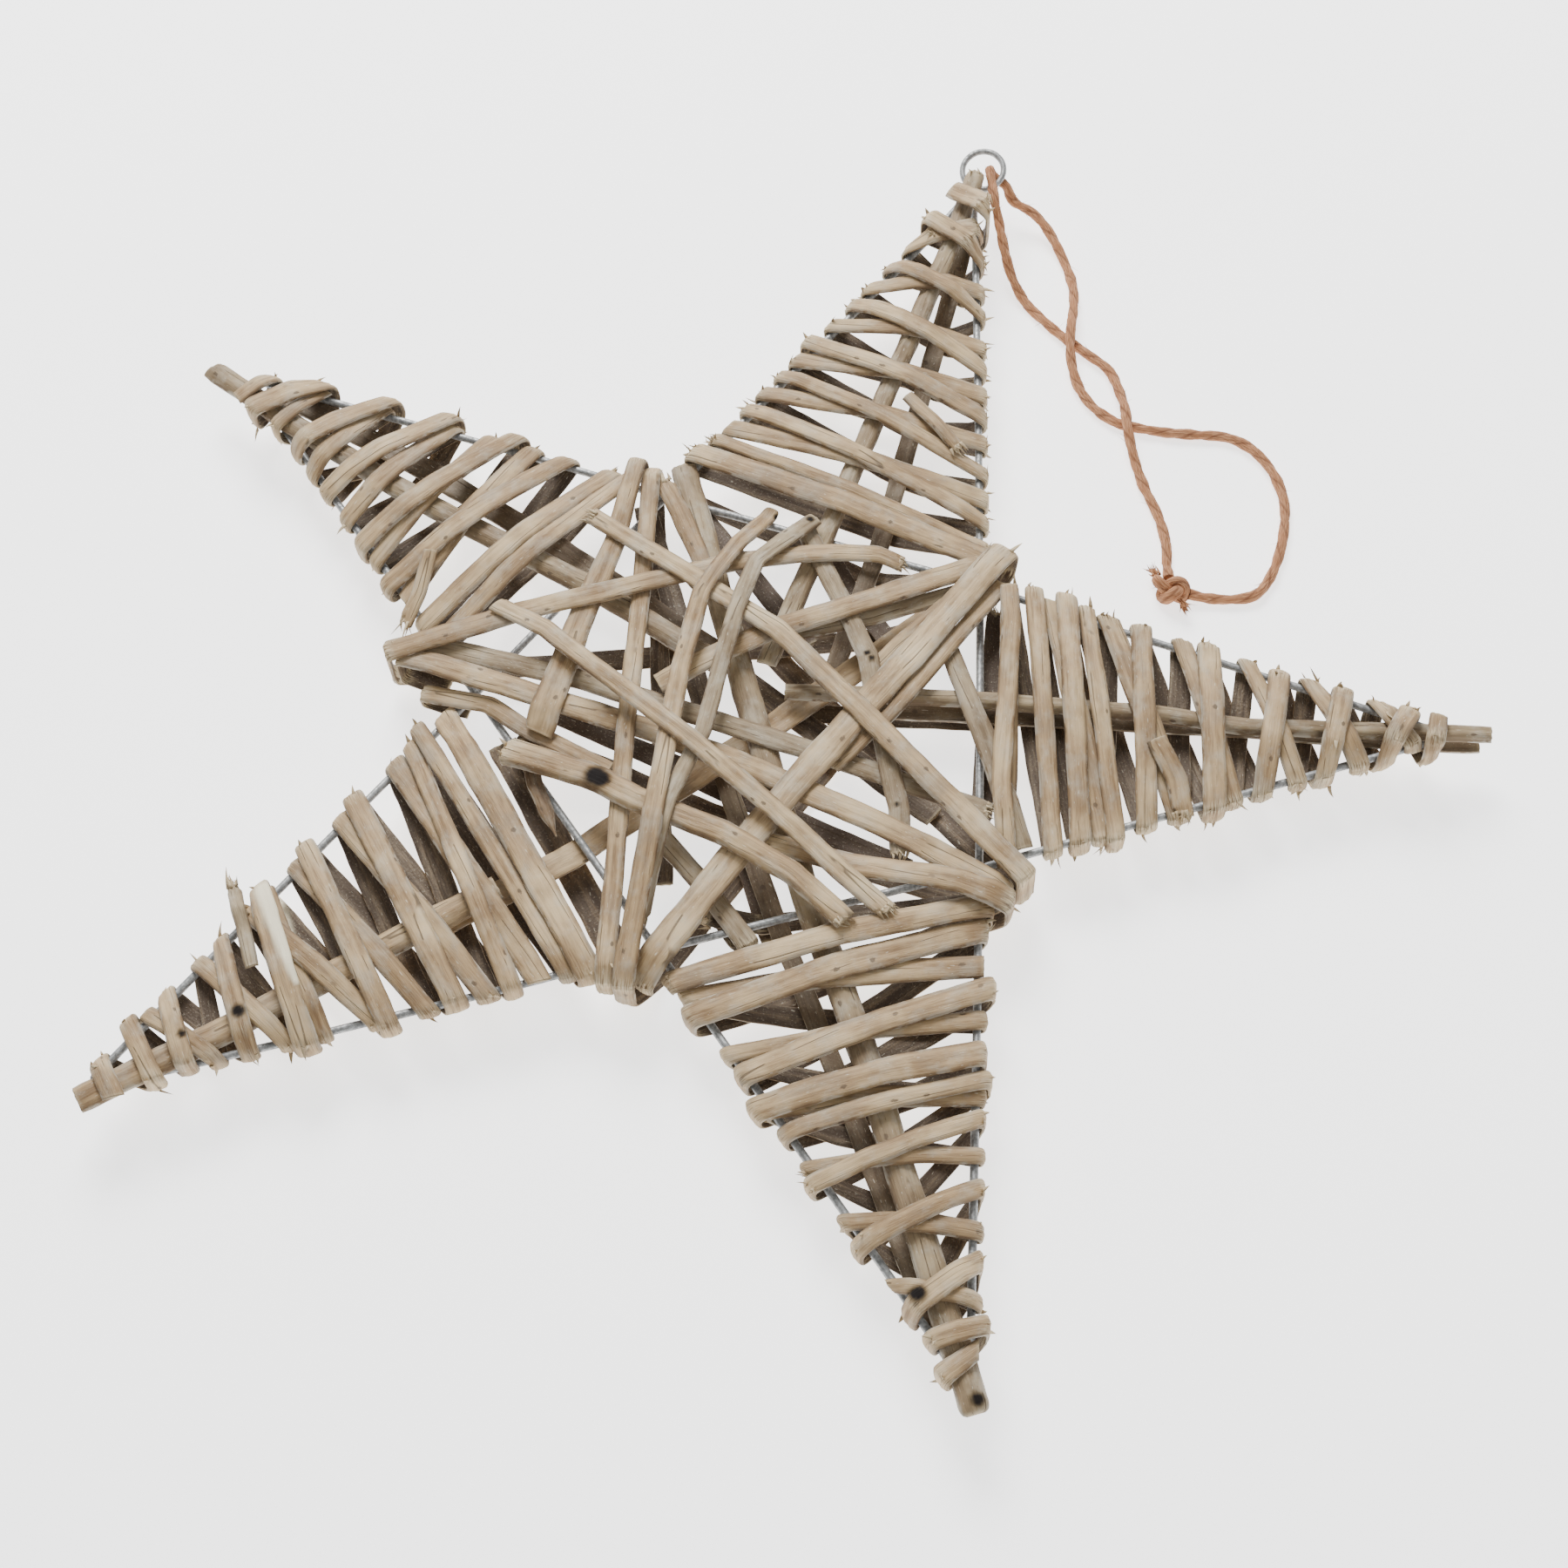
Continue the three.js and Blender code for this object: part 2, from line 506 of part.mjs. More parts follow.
function tipBend(tip) {
  const { inward, right } = armAxes(tip);
  const points = [];
  if (tip === 0) {
    const eye = tips[0].clone().addScaledVector(inward, -hookReach * unit);
    const parted = wireRadius + ringWireDiameter / 2 + clearance;
    for (const degrees of [-90, -45, 0, 45, 90]) {
      const angle = THREE.MathUtils.degToRad(degrees);
      const place = eye.clone().addScaledVector(inward, -parted * Math.cos(angle))
        .addScaledVector(right, -0.3 * wireRadius * Math.sin(angle));
      points.push(new THREE.Vector3(place.x, place.y, parted * Math.sin(angle)));
    }
    return points;
  }
  const setBack = tipBendRadius / Math.sin(THREE.MathUtils.degToRad(18));
  const centre = tips[tip].clone().addScaledVector(inward, setBack);
  for (const degrees of [-36, 0, 36]) {
    const angle = THREE.MathUtils.degToRad(degrees);
    const place = centre.clone().addScaledVector(inward, -tipBendRadius * Math.cos(angle))
      .addScaledVector(right, -tipBendRadius * Math.sin(angle));
    points.push(new THREE.Vector3(place.x, place.y, 0));
  }
  return points;
}

function addFrame() {
  const route = wireRoute();
  addPiece('wire_frame', closedTube(route, wireRadius, 6), 'wire');
  route.forEach((point, k) => {
    const next = route[(k + 1) % route.length];
    const [a, b] = [point, next].map((p) => new THREE.Vector2(p.x, p.y));
    front.lay(a, b, point.z + wireRadius, next.z + wireRadius, wireRadius);
    back.lay(a, b, wireRadius - point.z, wireRadius - next.z, wireRadius);
    addBlock(a, b, wireRadius);
  });
}

// Middle of the ring, which is hooked at its lowest point and leans up from there
function ringCentre() {
  const middleRadius = (ringOuterDiameter - ringWireDiameter) / 2;
  const lean = THREE.MathUtils.degToRad(ringTilt);
  const place = tips[0].clone()
    .addScaledVector(armAxes(0).inward, -(hookReach * unit + middleRadius * Math.cos(lean)));
  return new THREE.Vector3(place.x, place.y, middleRadius * Math.sin(lean));
}

function addRing() {
  const middleRadius = (ringOuterDiameter - ringWireDiameter) / 2;
  const ring = new THREE.TorusGeometry(middleRadius, ringWireDiameter / 2, 8, 20);
  ring.rotateX(THREE.MathUtils.degToRad(ringTilt));
  addPiece('hanging_ring', ring, 'wire').position.copy(ringCentre());
}

function addRods(bed, rods, face) {
  for (const { arm, width, route } of rods) {
    const plan = route.map(([distance, offset]) => armPoint(arm, distance, offset));
    const run = drape(bed, plan, plan.map(() => width * rodWidth / 2), [-Infinity, -Infinity]);
    const stations = settle(bed, run, rodThickness);
    addPiece(`arm_${arm + 1}_${face}_rod`, ribbon(stations, rodThickness, rodCrown), 'rod');
  }
}

// A fold round one wire of an arm: its plan place, its half width along the wire and the wire's height
function turnFold(arm, side, distance, width) {
  const wire = armWire(arm, side, distance * unit);
  const halfWidth = width * stripWidth / 2;
  const start = wire.place.clone().addScaledVector(wire.outward, wireRadius + clearance);
  const place = freeFold(start, wire.outward, halfWidth, stripThickness);
  const end = place.clone().addScaledVector(wire.outward, stripThickness);
  addBlock(place, end, halfWidth);
  return { place, halfWidth, along: wire.towardsBase, outward: wire.outward, height: wire.height };
}

// Sets a run's end station on a fold, with the fold's own width direction
function meetFold(station, fold) {
  const half = new THREE.Vector3(fold.along.x, fold.along.y, 0).multiplyScalar(fold.halfWidth);
  station.half.copy(half.dot(station.half) < 0 ? half.negate() : half);
}

// One long strip wound round an arm. It starts at the side given and goes on at the back after each turn.
function addWinding(arm, turns, startSide, name) {
  const endSide = startSide === 'left' ? 'right' : 'left';
  const reach = wireRadius + clearance;
  const folds = turns.map(([left, right, width]) => {
    const made = { left: turnFold(arm, 'left', left, width), right: turnFold(arm, 'right', right, width) };
    return [made[startSide], made[endSide]];
  });
  const lay = (bed, from, to) => {
    const ends = [from, to].map((fold) => reach + bed.sign * fold.height);
    const run = drape(bed, [from.place, to.place], [from.halfWidth, to.halfWidth], ends);
    const stations = settle(bed, run, stripThickness, [from.outward, to.outward]);
    meetFold(stations[0], from);
    meetFold(stations.at(-1), to);
    return stations;
  };
  const stations = [];
  folds.forEach(([start, end], k) => {
    stations.push(...lay(front, start, end));
    if (k < folds.length - 1) stations.push(...lay(back, end, folds[k + 1][0]));
  });
  addPiece(name, ribbon(stations, stripThickness, stripCrown), 'strip');
}

// The part of a hooked strip at the back, from its fold to where it is tucked in
function tuckRun(fold, outward, halfWidth, target) {
  const inwardEnd = target
    ? new THREE.Vector2(...target).multiplyScalar(unit)
    : fold.clone().addScaledVector(outward, -tuckLength - stripThickness);
  return drape(back, [fold, inwardEnd], [halfWidth, halfWidth], [wireRadius, -Infinity]);
}

function addCentreStrip({ name, width, route, thickness = 1, hookStart, hookEnd, tuckStart, tuckEnd }) {
  const plan = route.map(([x, y]) => new THREE.Vector2(x, y).multiplyScalar(unit));
  const depth = thickness * stripThickness;
  const widthAt = (k) => THREE.MathUtils.lerp(width[0], width[1], k / (plan.length - 1)) * stripWidth / 2;
  const halfWidths = plan.map((point, k) => widthAt(k));
  const hook = (end, neighbour, halfWidth) => {
    const outward = end.clone().sub(neighbour).normalize();
    end.copy(freeFold(end, outward, halfWidth, depth));
    addBlock(end, end.clone().addScaledVector(outward, depth), halfWidth);
    return outward;
  };
  const outwardStart = hookStart && hook(plan[0], plan[1], halfWidths[0]);
  const outwardEnd = hookEnd && hook(plan.at(-1), plan.at(-2), halfWidths.at(-1));
  const ends = [hookStart, hookEnd].map((hooked) => (hooked ? wireRadius + clearance : -Infinity));
  const stations = settle(front, drape(front, plan, halfWidths, ends), depth, [outwardStart, outwardEnd]);
  if (hookStart) {
    const run = tuckRun(plan[0], outwardStart, halfWidths[0], tuckStart).reverse();
    const tail = settle(back, run, depth, [undefined, outwardStart]);
    tail.at(-1).half.copy(stations[0].half);
    stations.unshift(...tail);
  }
  if (hookEnd) {
    const run = tuckRun(plan.at(-1), outwardEnd, halfWidths.at(-1), tuckEnd);
    const tail = settle(back, run, depth, [outwardEnd]);
    tail[0].half.copy(stations.at(-1).half);
    stations.push(...tail);
  }
  addPiece(name, ribbon(stations, depth, stripCrown), 'strip');
}

function addBackStrip({ name, width, route }) {
  const plan = route.map(([x, y]) => new THREE.Vector2(x, y).multiplyScalar(unit));
  const run = drape(back, plan, plan.map(() => width * stripWidth / 2), [-Infinity, -Infinity]);
  addPiece(name, ribbon(settle(back, run, stripThickness), stripThickness, stripCrown), 'strip');
}

function addLooseEnd({ name, arm, width, route }) {
  const plan = route.map(([distance, offset]) => armPoint(arm, distance, offset));
  const run = drape(front, plan, plan.map(() => width * stripWidth / 2), [-Infinity, -Infinity]);
  addPiece(name, ribbon(settle(front, run, stripThickness), stripThickness, stripCrown), 'strip');
}

// The twine loop: up one strand to the ring, through its eye and back along the other strand to the knot
function addTwine(floor) {
  const centre = ringCentre();
  const radius = twineDiameter / 2;
  const pass = ringWireDiameter / 2 + clearance + radius;
  const onFloor = floor + radius;
  const eye = (ringOuterDiameter / 2 - ringWireDiameter) - clearance - radius;
  const knot = new THREE.Vector3(...knotPlace, 0).multiplyScalar(unit);
  knot.z = floor + knotSize.height / 2;
  const strand = (plan, start, crossing) => {
    const points = plan.map(([x, y], k) => strandPoint([x, y], k, { start, crossing, onFloor }));
    return [...points, knotSide(knot, points.at(-1))];
  };
  const over = strand(strandOver, pass, strandCrossings.second);
  const under = strand(strandUnder, -pass, strandCrossings.first);
  const rise = Math.tan(THREE.MathUtils.degToRad(ringTilt));
  const turn = throughEye.map(([x, y, z]) => {
    const leaning = Math.max(0, centre.z + y * eye * rise);
    return new THREE.Vector3(centre.x + x * eye, centre.y + y * eye, leaning + z * pass);
  });
  const route = new THREE.CatmullRomCurve3([...over.reverse(), ...turn, ...under], false, 'centripetal');
  route.getUtoTmapping = (share) => share;
  const sides = 8;
  const section = new THREE.Shape(Array.from({ length: sides }, (unused, k) => new THREE.Vector2(
    radius * Math.cos(2 * Math.PI * k / sides), radius * Math.sin(2 * Math.PI * k / sides))));
  const steps = route.points.length - 1;
  addPiece('twine_loop', new THREE.ExtrudeGeometry(section, { steps, extrudePath: route }), 'twine');
  const ball = new THREE.SphereGeometry(0.5, 10, 6).scale(knotSize.length, knotSize.width, knotSize.height);
  addPiece('twine_knot', ball, 'twine').position.copy(knot);
}

// A strand sinks to the floor over its first points and rises in a low hump where it passes over the other
function strandPoint([x, y], k, { start, crossing, onFloor }) {
  const sinkingPoints = 4;
  const humpReach = 4 * twineDiameter;
  const place = new THREE.Vector2(x, y).multiplyScalar(unit);
  const apart = place.distanceTo(new THREE.Vector2(...crossing).multiplyScalar(unit));
  const sinking = THREE.MathUtils.lerp(start, onFloor, Math.min(1, (k + 1) / sinkingPoints));
  const hump = (twineDiameter + clearance) * Math.exp(-((apart / humpReach) ** 2));
  return new THREE.Vector3(place.x, place.y, sinking + hump);
}

// The point just off the knot's surface where a strand that comes from the given point ends
function knotSide(knot, from) {
  const outward = from.clone().sub(knot).normalize();
  const { length, width, height } = knotSize;
  const reach = 0.5 / Math.hypot(outward.x / length, outward.y / width, outward.z / height);
  return knot.clone().addScaledVector(outward, reach + clearance);
}

addFrame();
addRing();
addRods(front, frontRods, 'front');
addRods(back, backRods, 'back');
for (let arm = 0; arm < arms; arm += 1) {
  addWinding(arm, underTurns[arm], 'right', `arm_${arm + 1}_first_winding`);
}
for (let arm = 0; arm < arms; arm += 1) {
  addWinding(arm, overTurns[arm], 'left', `arm_${arm + 1}_second_winding`);
}
looseEnds.forEach(addLooseEnd);
backStrips.forEach(addBackStrip);
centreStrips.forEach(addCentreStrip);

// Sets the star down: its lowest point at zero height and the middle of its outline at the origin
const outline = new THREE.Box3().setFromObject(group, true);
addTwine(outline.min.z);
const middle = outline.getCenter(new THREE.Vector3());
group.position.set(-middle.x, -middle.y, -outline.min.z);

export default group;
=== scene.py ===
import logging
import math
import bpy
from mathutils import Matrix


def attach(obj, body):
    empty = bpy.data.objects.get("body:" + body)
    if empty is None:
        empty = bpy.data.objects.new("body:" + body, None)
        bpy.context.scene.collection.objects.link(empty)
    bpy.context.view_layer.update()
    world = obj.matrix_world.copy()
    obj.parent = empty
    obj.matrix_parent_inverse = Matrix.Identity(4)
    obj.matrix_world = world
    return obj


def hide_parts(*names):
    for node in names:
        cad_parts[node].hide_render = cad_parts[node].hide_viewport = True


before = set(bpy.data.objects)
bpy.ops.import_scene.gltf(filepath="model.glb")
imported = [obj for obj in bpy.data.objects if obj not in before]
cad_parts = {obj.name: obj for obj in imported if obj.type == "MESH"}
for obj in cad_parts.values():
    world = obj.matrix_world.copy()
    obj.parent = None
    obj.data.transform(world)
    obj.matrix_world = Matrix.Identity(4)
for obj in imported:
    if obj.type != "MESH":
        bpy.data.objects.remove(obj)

import zlib
from dataclasses import dataclass, field
from enum import Enum

import bpy
import numpy as np
from mathutils import Matrix

log = logging.getLogger("wicker_star")

MM = 0.001
CM_PER_M = 100
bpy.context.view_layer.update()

Array = np.ndarray
Random = np.random.Generator
Material = bpy.types.Material
Socket = bpy.types.NodeSocket
Piece = bpy.types.Object
Tint = tuple[int, int, int]
Spots = tuple[tuple[float, float, float], ...]
Plan = tuple[tuple[float, float], ...]

# The star frame of the part's source, moved as its last lines move it, in millimetres
SHIFT = np.array([0.6176, -25.9566, 14.1639])
RING_CENTRE = np.array([0.3606, 223.1909, 2.0174])
RING_LEAN = math.radians(17)
FLOOR_GAP = 0.02 * MM


def seed_of(name: str) -> Random:
    """Random numbers that are always the same for one name."""
    return np.random.default_rng(zlib.crc32(name.encode()))


def smooth(x: Array | float) -> Array:
    """Smooth step from 0 to 1: three x squared less two x cubed, held inside 0 to 1."""
    x = np.clip(x, 0.0, 1.0)
    return x * x * (3 - 2 * x)


def wander(where: Array, length: float, rng: Random) -> Array:
    """A slow wave from -1 to 1, the sum of four sines of which each is 1.7 times shorter than the last.

    Args:
        where: Places along a piece, in the unit of length.
        length: The longest sine's wave.
        rng: Gives the sines their phases.

    Returns:
        One value for each place.
    """
    weights = (1.0, 0.6, 0.4, 0.25)
    total = np.zeros_like(where, dtype=float)
    for k, weight in enumerate(weights):
        total += weight * np.sin(2 * math.pi * where * (1.7 ** k) / length + rng.uniform(0, 2 * math.pi))
    return total / sum(weights)


class End(Enum):
    """How the end of a strip or rod is finished, ROUND being a little narrower than CUT."""

    CUT = "C"
    SLANT = "S"
    FRAYED = "F"
    ROUND = "R"
    POINTED = "P"


class Nodes:
    """Adds shader nodes to one material and joins them."""

    def __init__(self, name: str) -> None:
        """Starts an empty material of that name."""
        self.material = bpy.data.materials.new(name)
        self.material.use_nodes = True
        self.tree = self.material.node_tree
        self.tree.nodes.clear()

    def add(self, kind: str, settings: dict[str, object] | None = None, **inputs: object) -> bpy.types.Node:
        """Adds a node.

        Args:
            kind: The node's type.
            settings: The node's own properties.
            **inputs: Values or outputs for the inputs, by name with _ for a space.

        Returns:
            The new node.
        """
        node = self.tree.nodes.new(kind)
        for key, value in (settings or {}).items():
            setattr(node, key, value)
        for key, value in inputs.items():
            self.feed(node.inputs[key.replace("_", " ")], value)
        return node

    def feed(self, socket: Socket, value: object) -> None:
        """Sets an input to a value or joins it to an output."""
        if isinstance(value, Socket):
            self.tree.links.new(value, socket)
        else:
            socket.default_value = value

    def math(self, operation: str, a: object, b: object) -> Socket:
        """The outcome of one sum on two values."""
        node = self.add("ShaderNodeMath", {"operation": operation})
        self.feed(node.inputs[0], a)
        self.feed(node.inputs[1], b)
        return node.outputs[0]

    def times(self, a: object, b: object) -> Socket:
        """Two values multiplied."""
        return self.math("MULTIPLY", a, b)

    def plus(self, a: object, b: object) -> Socket:
        """Two values added."""
        return self.math("ADD", a, b)

    def mix(self, share: object, a: object, b: object, blend: str = "MIX") -> Socket:
        """Colour a changed into colour b by a share."""
        node = self.add("ShaderNodeMix", {"data_type": "RGBA", "blend_type": blend})
        for place, value in zip((0, 6, 7), (share, a, b)):
            self.feed(node.inputs[place], value)
        return node.outputs[2]

    def span(self, value: object, low: float, high: float, to_low: float, to_high: float) -> Socket:
        """A value between low and high carried smoothly to another range."""
        node = self.add("ShaderNodeMapRange", {"interpolation_type": "SMOOTHSTEP"})
        for place, number in enumerate((value, low, high, to_low, to_high)):
            self.feed(node.inputs[place], number)
        return node.outputs[0]

    def grain(self) -> Socket:
        """The place on the piece's grain map, in centimetres along the grain and across it."""
        return self.add("ShaderNodeUVMap", {"uv_map": "grain"}).outputs[0]

    def noise(self, place: object, along: float, across: float, detail: float = 3.0,
              up: float = 1.0) -> Socket:
        """Noise stretched by a scale for each direction of the place."""
        mapping = self.add("ShaderNodeMapping", Vector=place, Scale=(along, across, up))
        noise = self.add("ShaderNodeTexNoise", Vector=mapping.outputs[0], Scale=1.0, Detail=detail,
                         Roughness=0.6)
        return noise.outputs[0]

    def value_of(self, attribute: str) -> Socket:
        """The piece's own value of that name."""
        return self.add("ShaderNodeAttribute", {"attribute_name": attribute}).outputs["Fac"]

    def surface(self, **inputs: object) -> Material:
        """Ends the material in one shader and gives it back."""
        shader = self.add("ShaderNodeBsdfPrincipled", **inputs)
        output = self.add("ShaderNodeOutputMaterial")
        self.tree.links.new(shader.outputs[0], output.inputs[0])
        return self.material


def linear(red: int, green: int, blue: int) -> tuple[float, float, float, float]:
    """A colour as read on screen, from 0 to 255, as the light that the shader wants."""
    values = np.array([red, green, blue]) / 255
    light = np.where(values <= 0.04045, values / 12.92, ((values + 0.055) / 1.055) ** 2.4)
    return (*light.tolist(), 1.0)


@dataclass(frozen=True)
class WillowFinish:
    """Split or whole willow: a smooth outer side with a thin white wash, and a rough inner side, whose dark
    colour is partly its own and partly painted shade.

    The four colours are as read on screen, and `wash` is the wash's share where it is thickest.
    """

    name: str
    pale: Tint
    plain: Tint
    deep: Tint
    inside: Tint
    wash: float

    def material(self) -> Material:
        """Streaks along the grain between three tans, a patchy wash, paler edges, darker sides that are
        partly stain and partly painted shade, and dark marks.

        Returns:
            The material, which reads the grain map in centimetres and the values that Strip writes.
        """
        n = Nodes(self.name)
        place = n.grain()
        streaks = n.noise(place, 0.3, 7.0, 5.0)
        patches = n.noise(place, 1.1, 2.4, 5.0)
        blotches = n.noise(place, 0.45, 0.9)
        fibres = n.noise(place, 2.2, 42.0)
        specks = n.noise(place, 14.0, 24.0, 2.0)
        lines = n.noise(place, 0.5, 13.0)
        nicks = n.noise(place, 3.5, 30.0, 2.0)
        inner, mark, fold = (n.value_of(name) for name in ("inner", "mark", "fold"))
        split = n.math("ABSOLUTE", n.math("SUBTRACT", n.noise(place, 0.07, 2.2, 0.0), 0.5), 0.0)
        split = n.times(n.span(split, 0.004, 0.012, 1.0, 0.0), n.span(blotches, 0.52, 0.56, 0.0, 0.75))
        grain = n.plus(n.times(streaks, 0.7), n.times(fibres, 0.3))
        colour = self.layered(n, linear(*self.deep), (
            (n.span(grain, 0.36, 0.6, 0.0, 1.0), self.plain),
            (n.span(blotches, 0.42, 0.7, 0.0, 0.85), self.pale),
            (n.span(blotches, 0.46, 0.3, 0.0, 0.6), (146, 128, 104)),
            (n.times(n.span(patches, 0.46, 0.68, 0.0, 1.0), self.wash), (206, 199, 182)),
            (n.span(lines, 0.48, 0.34, 0.0, 0.34), (128, 106, 78)),
        ))
        # Painted shade and random tone: a lower tone darkens the whole piece, and pieces lying further back
        # are given lower tones.
        colour = n.mix(n.value_of("tone_and_shade"), n.mix(1.0, colour, linear(196, 188, 178), "MULTIPLY"), colour)
        # The inner side's colours: partly the rough inner side's own colour, partly painted shade for the
        # undersides and the back passes of the windings.
        under = self.layered(n, linear(82, 68, 54), (
            (n.span(streaks, 0.4, 0.7, 0.0, 1.0), self.inside),
            (n.span(specks, 0.58, 0.68, 0.0, 0.4), (178, 168, 148)),
            (n.span(fibres, 0.4, 0.6, 0.5, 0.0), (78, 65, 52)),
        ))
        colour = self.layered(n, n.mix(inner, colour, under), (
            (n.times(n.value_of("cut"), 0.7), (200, 184, 150)),
            # Painted shade and stain: the rounded sides of the strip are darkened.
            (n.times(n.value_of("side"), n.span(blotches, 0.35, 0.6, 0.8, 0.45)), (98, 77, 54)),
            (n.times(n.value_of("edge"), n.span(patches, 0.48, 0.58, 0.0, 0.6)), (214, 206, 188)),
            (split, (84, 68, 48)),
            (n.span(nicks, 0.32, 0.26, 0.0, 0.5), (112, 90, 64)),
            (n.span(nicks, 0.66, 0.72, 0.0, 0.5), (226, 218, 198)),
            (self.buds(n, place), (80, 64, 46)),
            (n.times(fold, n.span(fibres, 0.42, 0.58, 0.0, 0.9)), (214, 198, 164)),
            (n.times(fold, n.span(fibres, 0.44, 0.36, 0.0, 0.85)), (84, 66, 46)),
            (n.value_of("fresh"), (246, 236, 206)),
            (mark, (30, 26, 25)),
        ))
        height = n.plus(n.times(streaks, 0.6), n.times(fibres, 0.3))
        height = n.plus(height, n.times(n.math("SUBTRACT", patches, split), 0.5))
        height = n.plus(height, n.times(lines, 0.35))
        height = n.plus(height, n.times(n.times(specks, inner), 0.6))
        bump = n.add("ShaderNodeBump", Strength=0.7, Distance=0.0007, Height=height)
        return n.surface(Base_Color=colour, Roughness=n.span(streaks, 0.3, 0.7, 0.78, 0.58),
                         Specular_IOR_Level=n.span(mark, 0.0, 0.6, 0.5, 0.08), Normal=bump.outputs[0])

    @staticmethod
    def layered(n: Nodes, colour: object, layers: tuple[tuple[Socket, Tint], ...]) -> Socket:
        """A colour with layers over it, each a share and a colour as read on screen."""
        for share, tint in layers:
            colour = n.mix(share, colour, linear(*tint))
        return colour

    @staticmethod
    def buds(n: Nodes, place: Socket) -> Socket:
        """Small dark bud scars: the middles of a few cells, 15 mm long and 6 mm wide, broken by noise."""
        mapping = n.add("ShaderNodeMapping", Vector=place, Scale=(0.7, 1.6, 1.0))
        cells = n.add("ShaderNodeTexVoronoi", {"voronoi_dimensions": "2D"}, Vector=mapping.outputs[0],
                      Scale=1.0)
        apart = n.plus(cells.outputs["Distance"], n.times(n.noise(place, 9.0, 18.0), 0.16))
        few = n.span(cells.outputs["Color"], 0.55, 0.6, 0.0, 1.0)
        return n.times(n.span(apart, 0.12, 0.16, 0.75, 0.0), few)


@dataclass(frozen=True)
class ZincFinish:
    """Galvanised wire: dull grey with brighter flecks and a few darker runs."""

    name: str = "galvanised_wire"

    def material(self) -> Material:
        """Two greys mixed by noise on the object's own place, half dull and half polished."""
        n = Nodes(self.name)
        place = n.add("ShaderNodeTexCoord").outputs["Object"]
        flecks = n.noise(place, 900.0, 900.0, 4.0, 900.0)
        runs = n.noise(place, 120.0, 120.0, 3.0, 120.0)
        colour = n.mix(n.span(flecks, 0.35, 0.65, 0.0, 1.0), linear(132, 133, 132), linear(172, 173, 172))
        colour = n.mix(n.span(runs, 0.55, 0.75, 0.0, 0.6), colour, linear(96, 95, 92))
        bump = n.add("ShaderNodeBump", Strength=0.25, Distance=0.0002, Height=flecks)
        return n.surface(Base_Color=colour, Metallic=0.6, Roughness=n.span(flecks, 0.3, 0.7, 0.62, 0.44),
                         Normal=bump.outputs[0])


@dataclass(frozen=True)
class TwineFinish:
    """Orange-brown jute twine with painted shade in the grooves between the plies and pale loose fibres."""

    name: str = "jute_twine"

    def material(self) -> Material:
        """Fibre streaks that turn with the plies, from the piece's grain map in centimetres."""
        n = Nodes(self.name)
        fibres = n.noise(n.grain(), 3.0, 30.0, 4.0)
        blotches = n.noise(n.grain(), 1.5, 2.0)
        colour = n.mix(n.span(fibres, 0.35, 0.65, 0.0, 1.0), linear(134, 86, 54), linear(202, 150, 110))
        colour = n.mix(n.span(blotches, 0.4, 0.7, 0.0, 0.6), colour, linear(172, 116, 78))
        # Painted shade: the grooves between the plies are darkened.
        colour = n.mix(n.times(n.value_of("ply_groove_shade"), 0.75), colour, linear(92, 54, 32))
        bump = n.add("ShaderNodeBump", Strength=0.7, Distance=0.0005, Height=fibres)
        return n.surface(Base_Color=colour, Roughness=0.88, Normal=bump.outputs[0])


def make_mesh(name: str, points: Array, corner: Array, start: Array, grain: Array,
              values: dict[str, Array], inside_out: bool = False) -> Piece:
    """Makes an object from whole arrays and links it to the scene.

    Args:
        name: The object's name.
        points: Its points in metres.
        corner: The point number of every face corner.
        start: Where each face's corners begin in that row.
        grain: The place on the grain map of every face corner, in centimetres.
        values: Numbers for each point, by name, for the material.
        inside_out: Whether the faces have to be turned over.

    Returns:
        The object.
    """
    mesh = bpy.data.meshes.new(name)
    mesh.vertices.add(len(points))
    mesh.vertices.foreach_set("co", points.astype(np.float32).ravel())
    mesh.loops.add(len(corner))
    mesh.loops.foreach_set("vertex_index", corner.astype(np.int32))
    mesh.polygons.add(len(start))
    mesh.polygons.foreach_set("loop_start", start.astype(np.int32))
    mesh.polygons.foreach_set("use_smooth", np.ones(len(start), bool))
    mesh.update(calc_edges=True)
    mesh.uv_layers.new(name="grain").data.foreach_set("uv", grain.astype(np.float32).ravel())
    for key, all_ in values.items():
        mesh.attributes.new(key, "FLOAT", "POINT").data.foreach_set("value", all_.astype(np.float32))
    if inside_out:
        mesh.flip_normals()
    made = bpy.data.objects.new(name, mesh)
    bpy.context.scene.collection.objects.link(made)
    return made


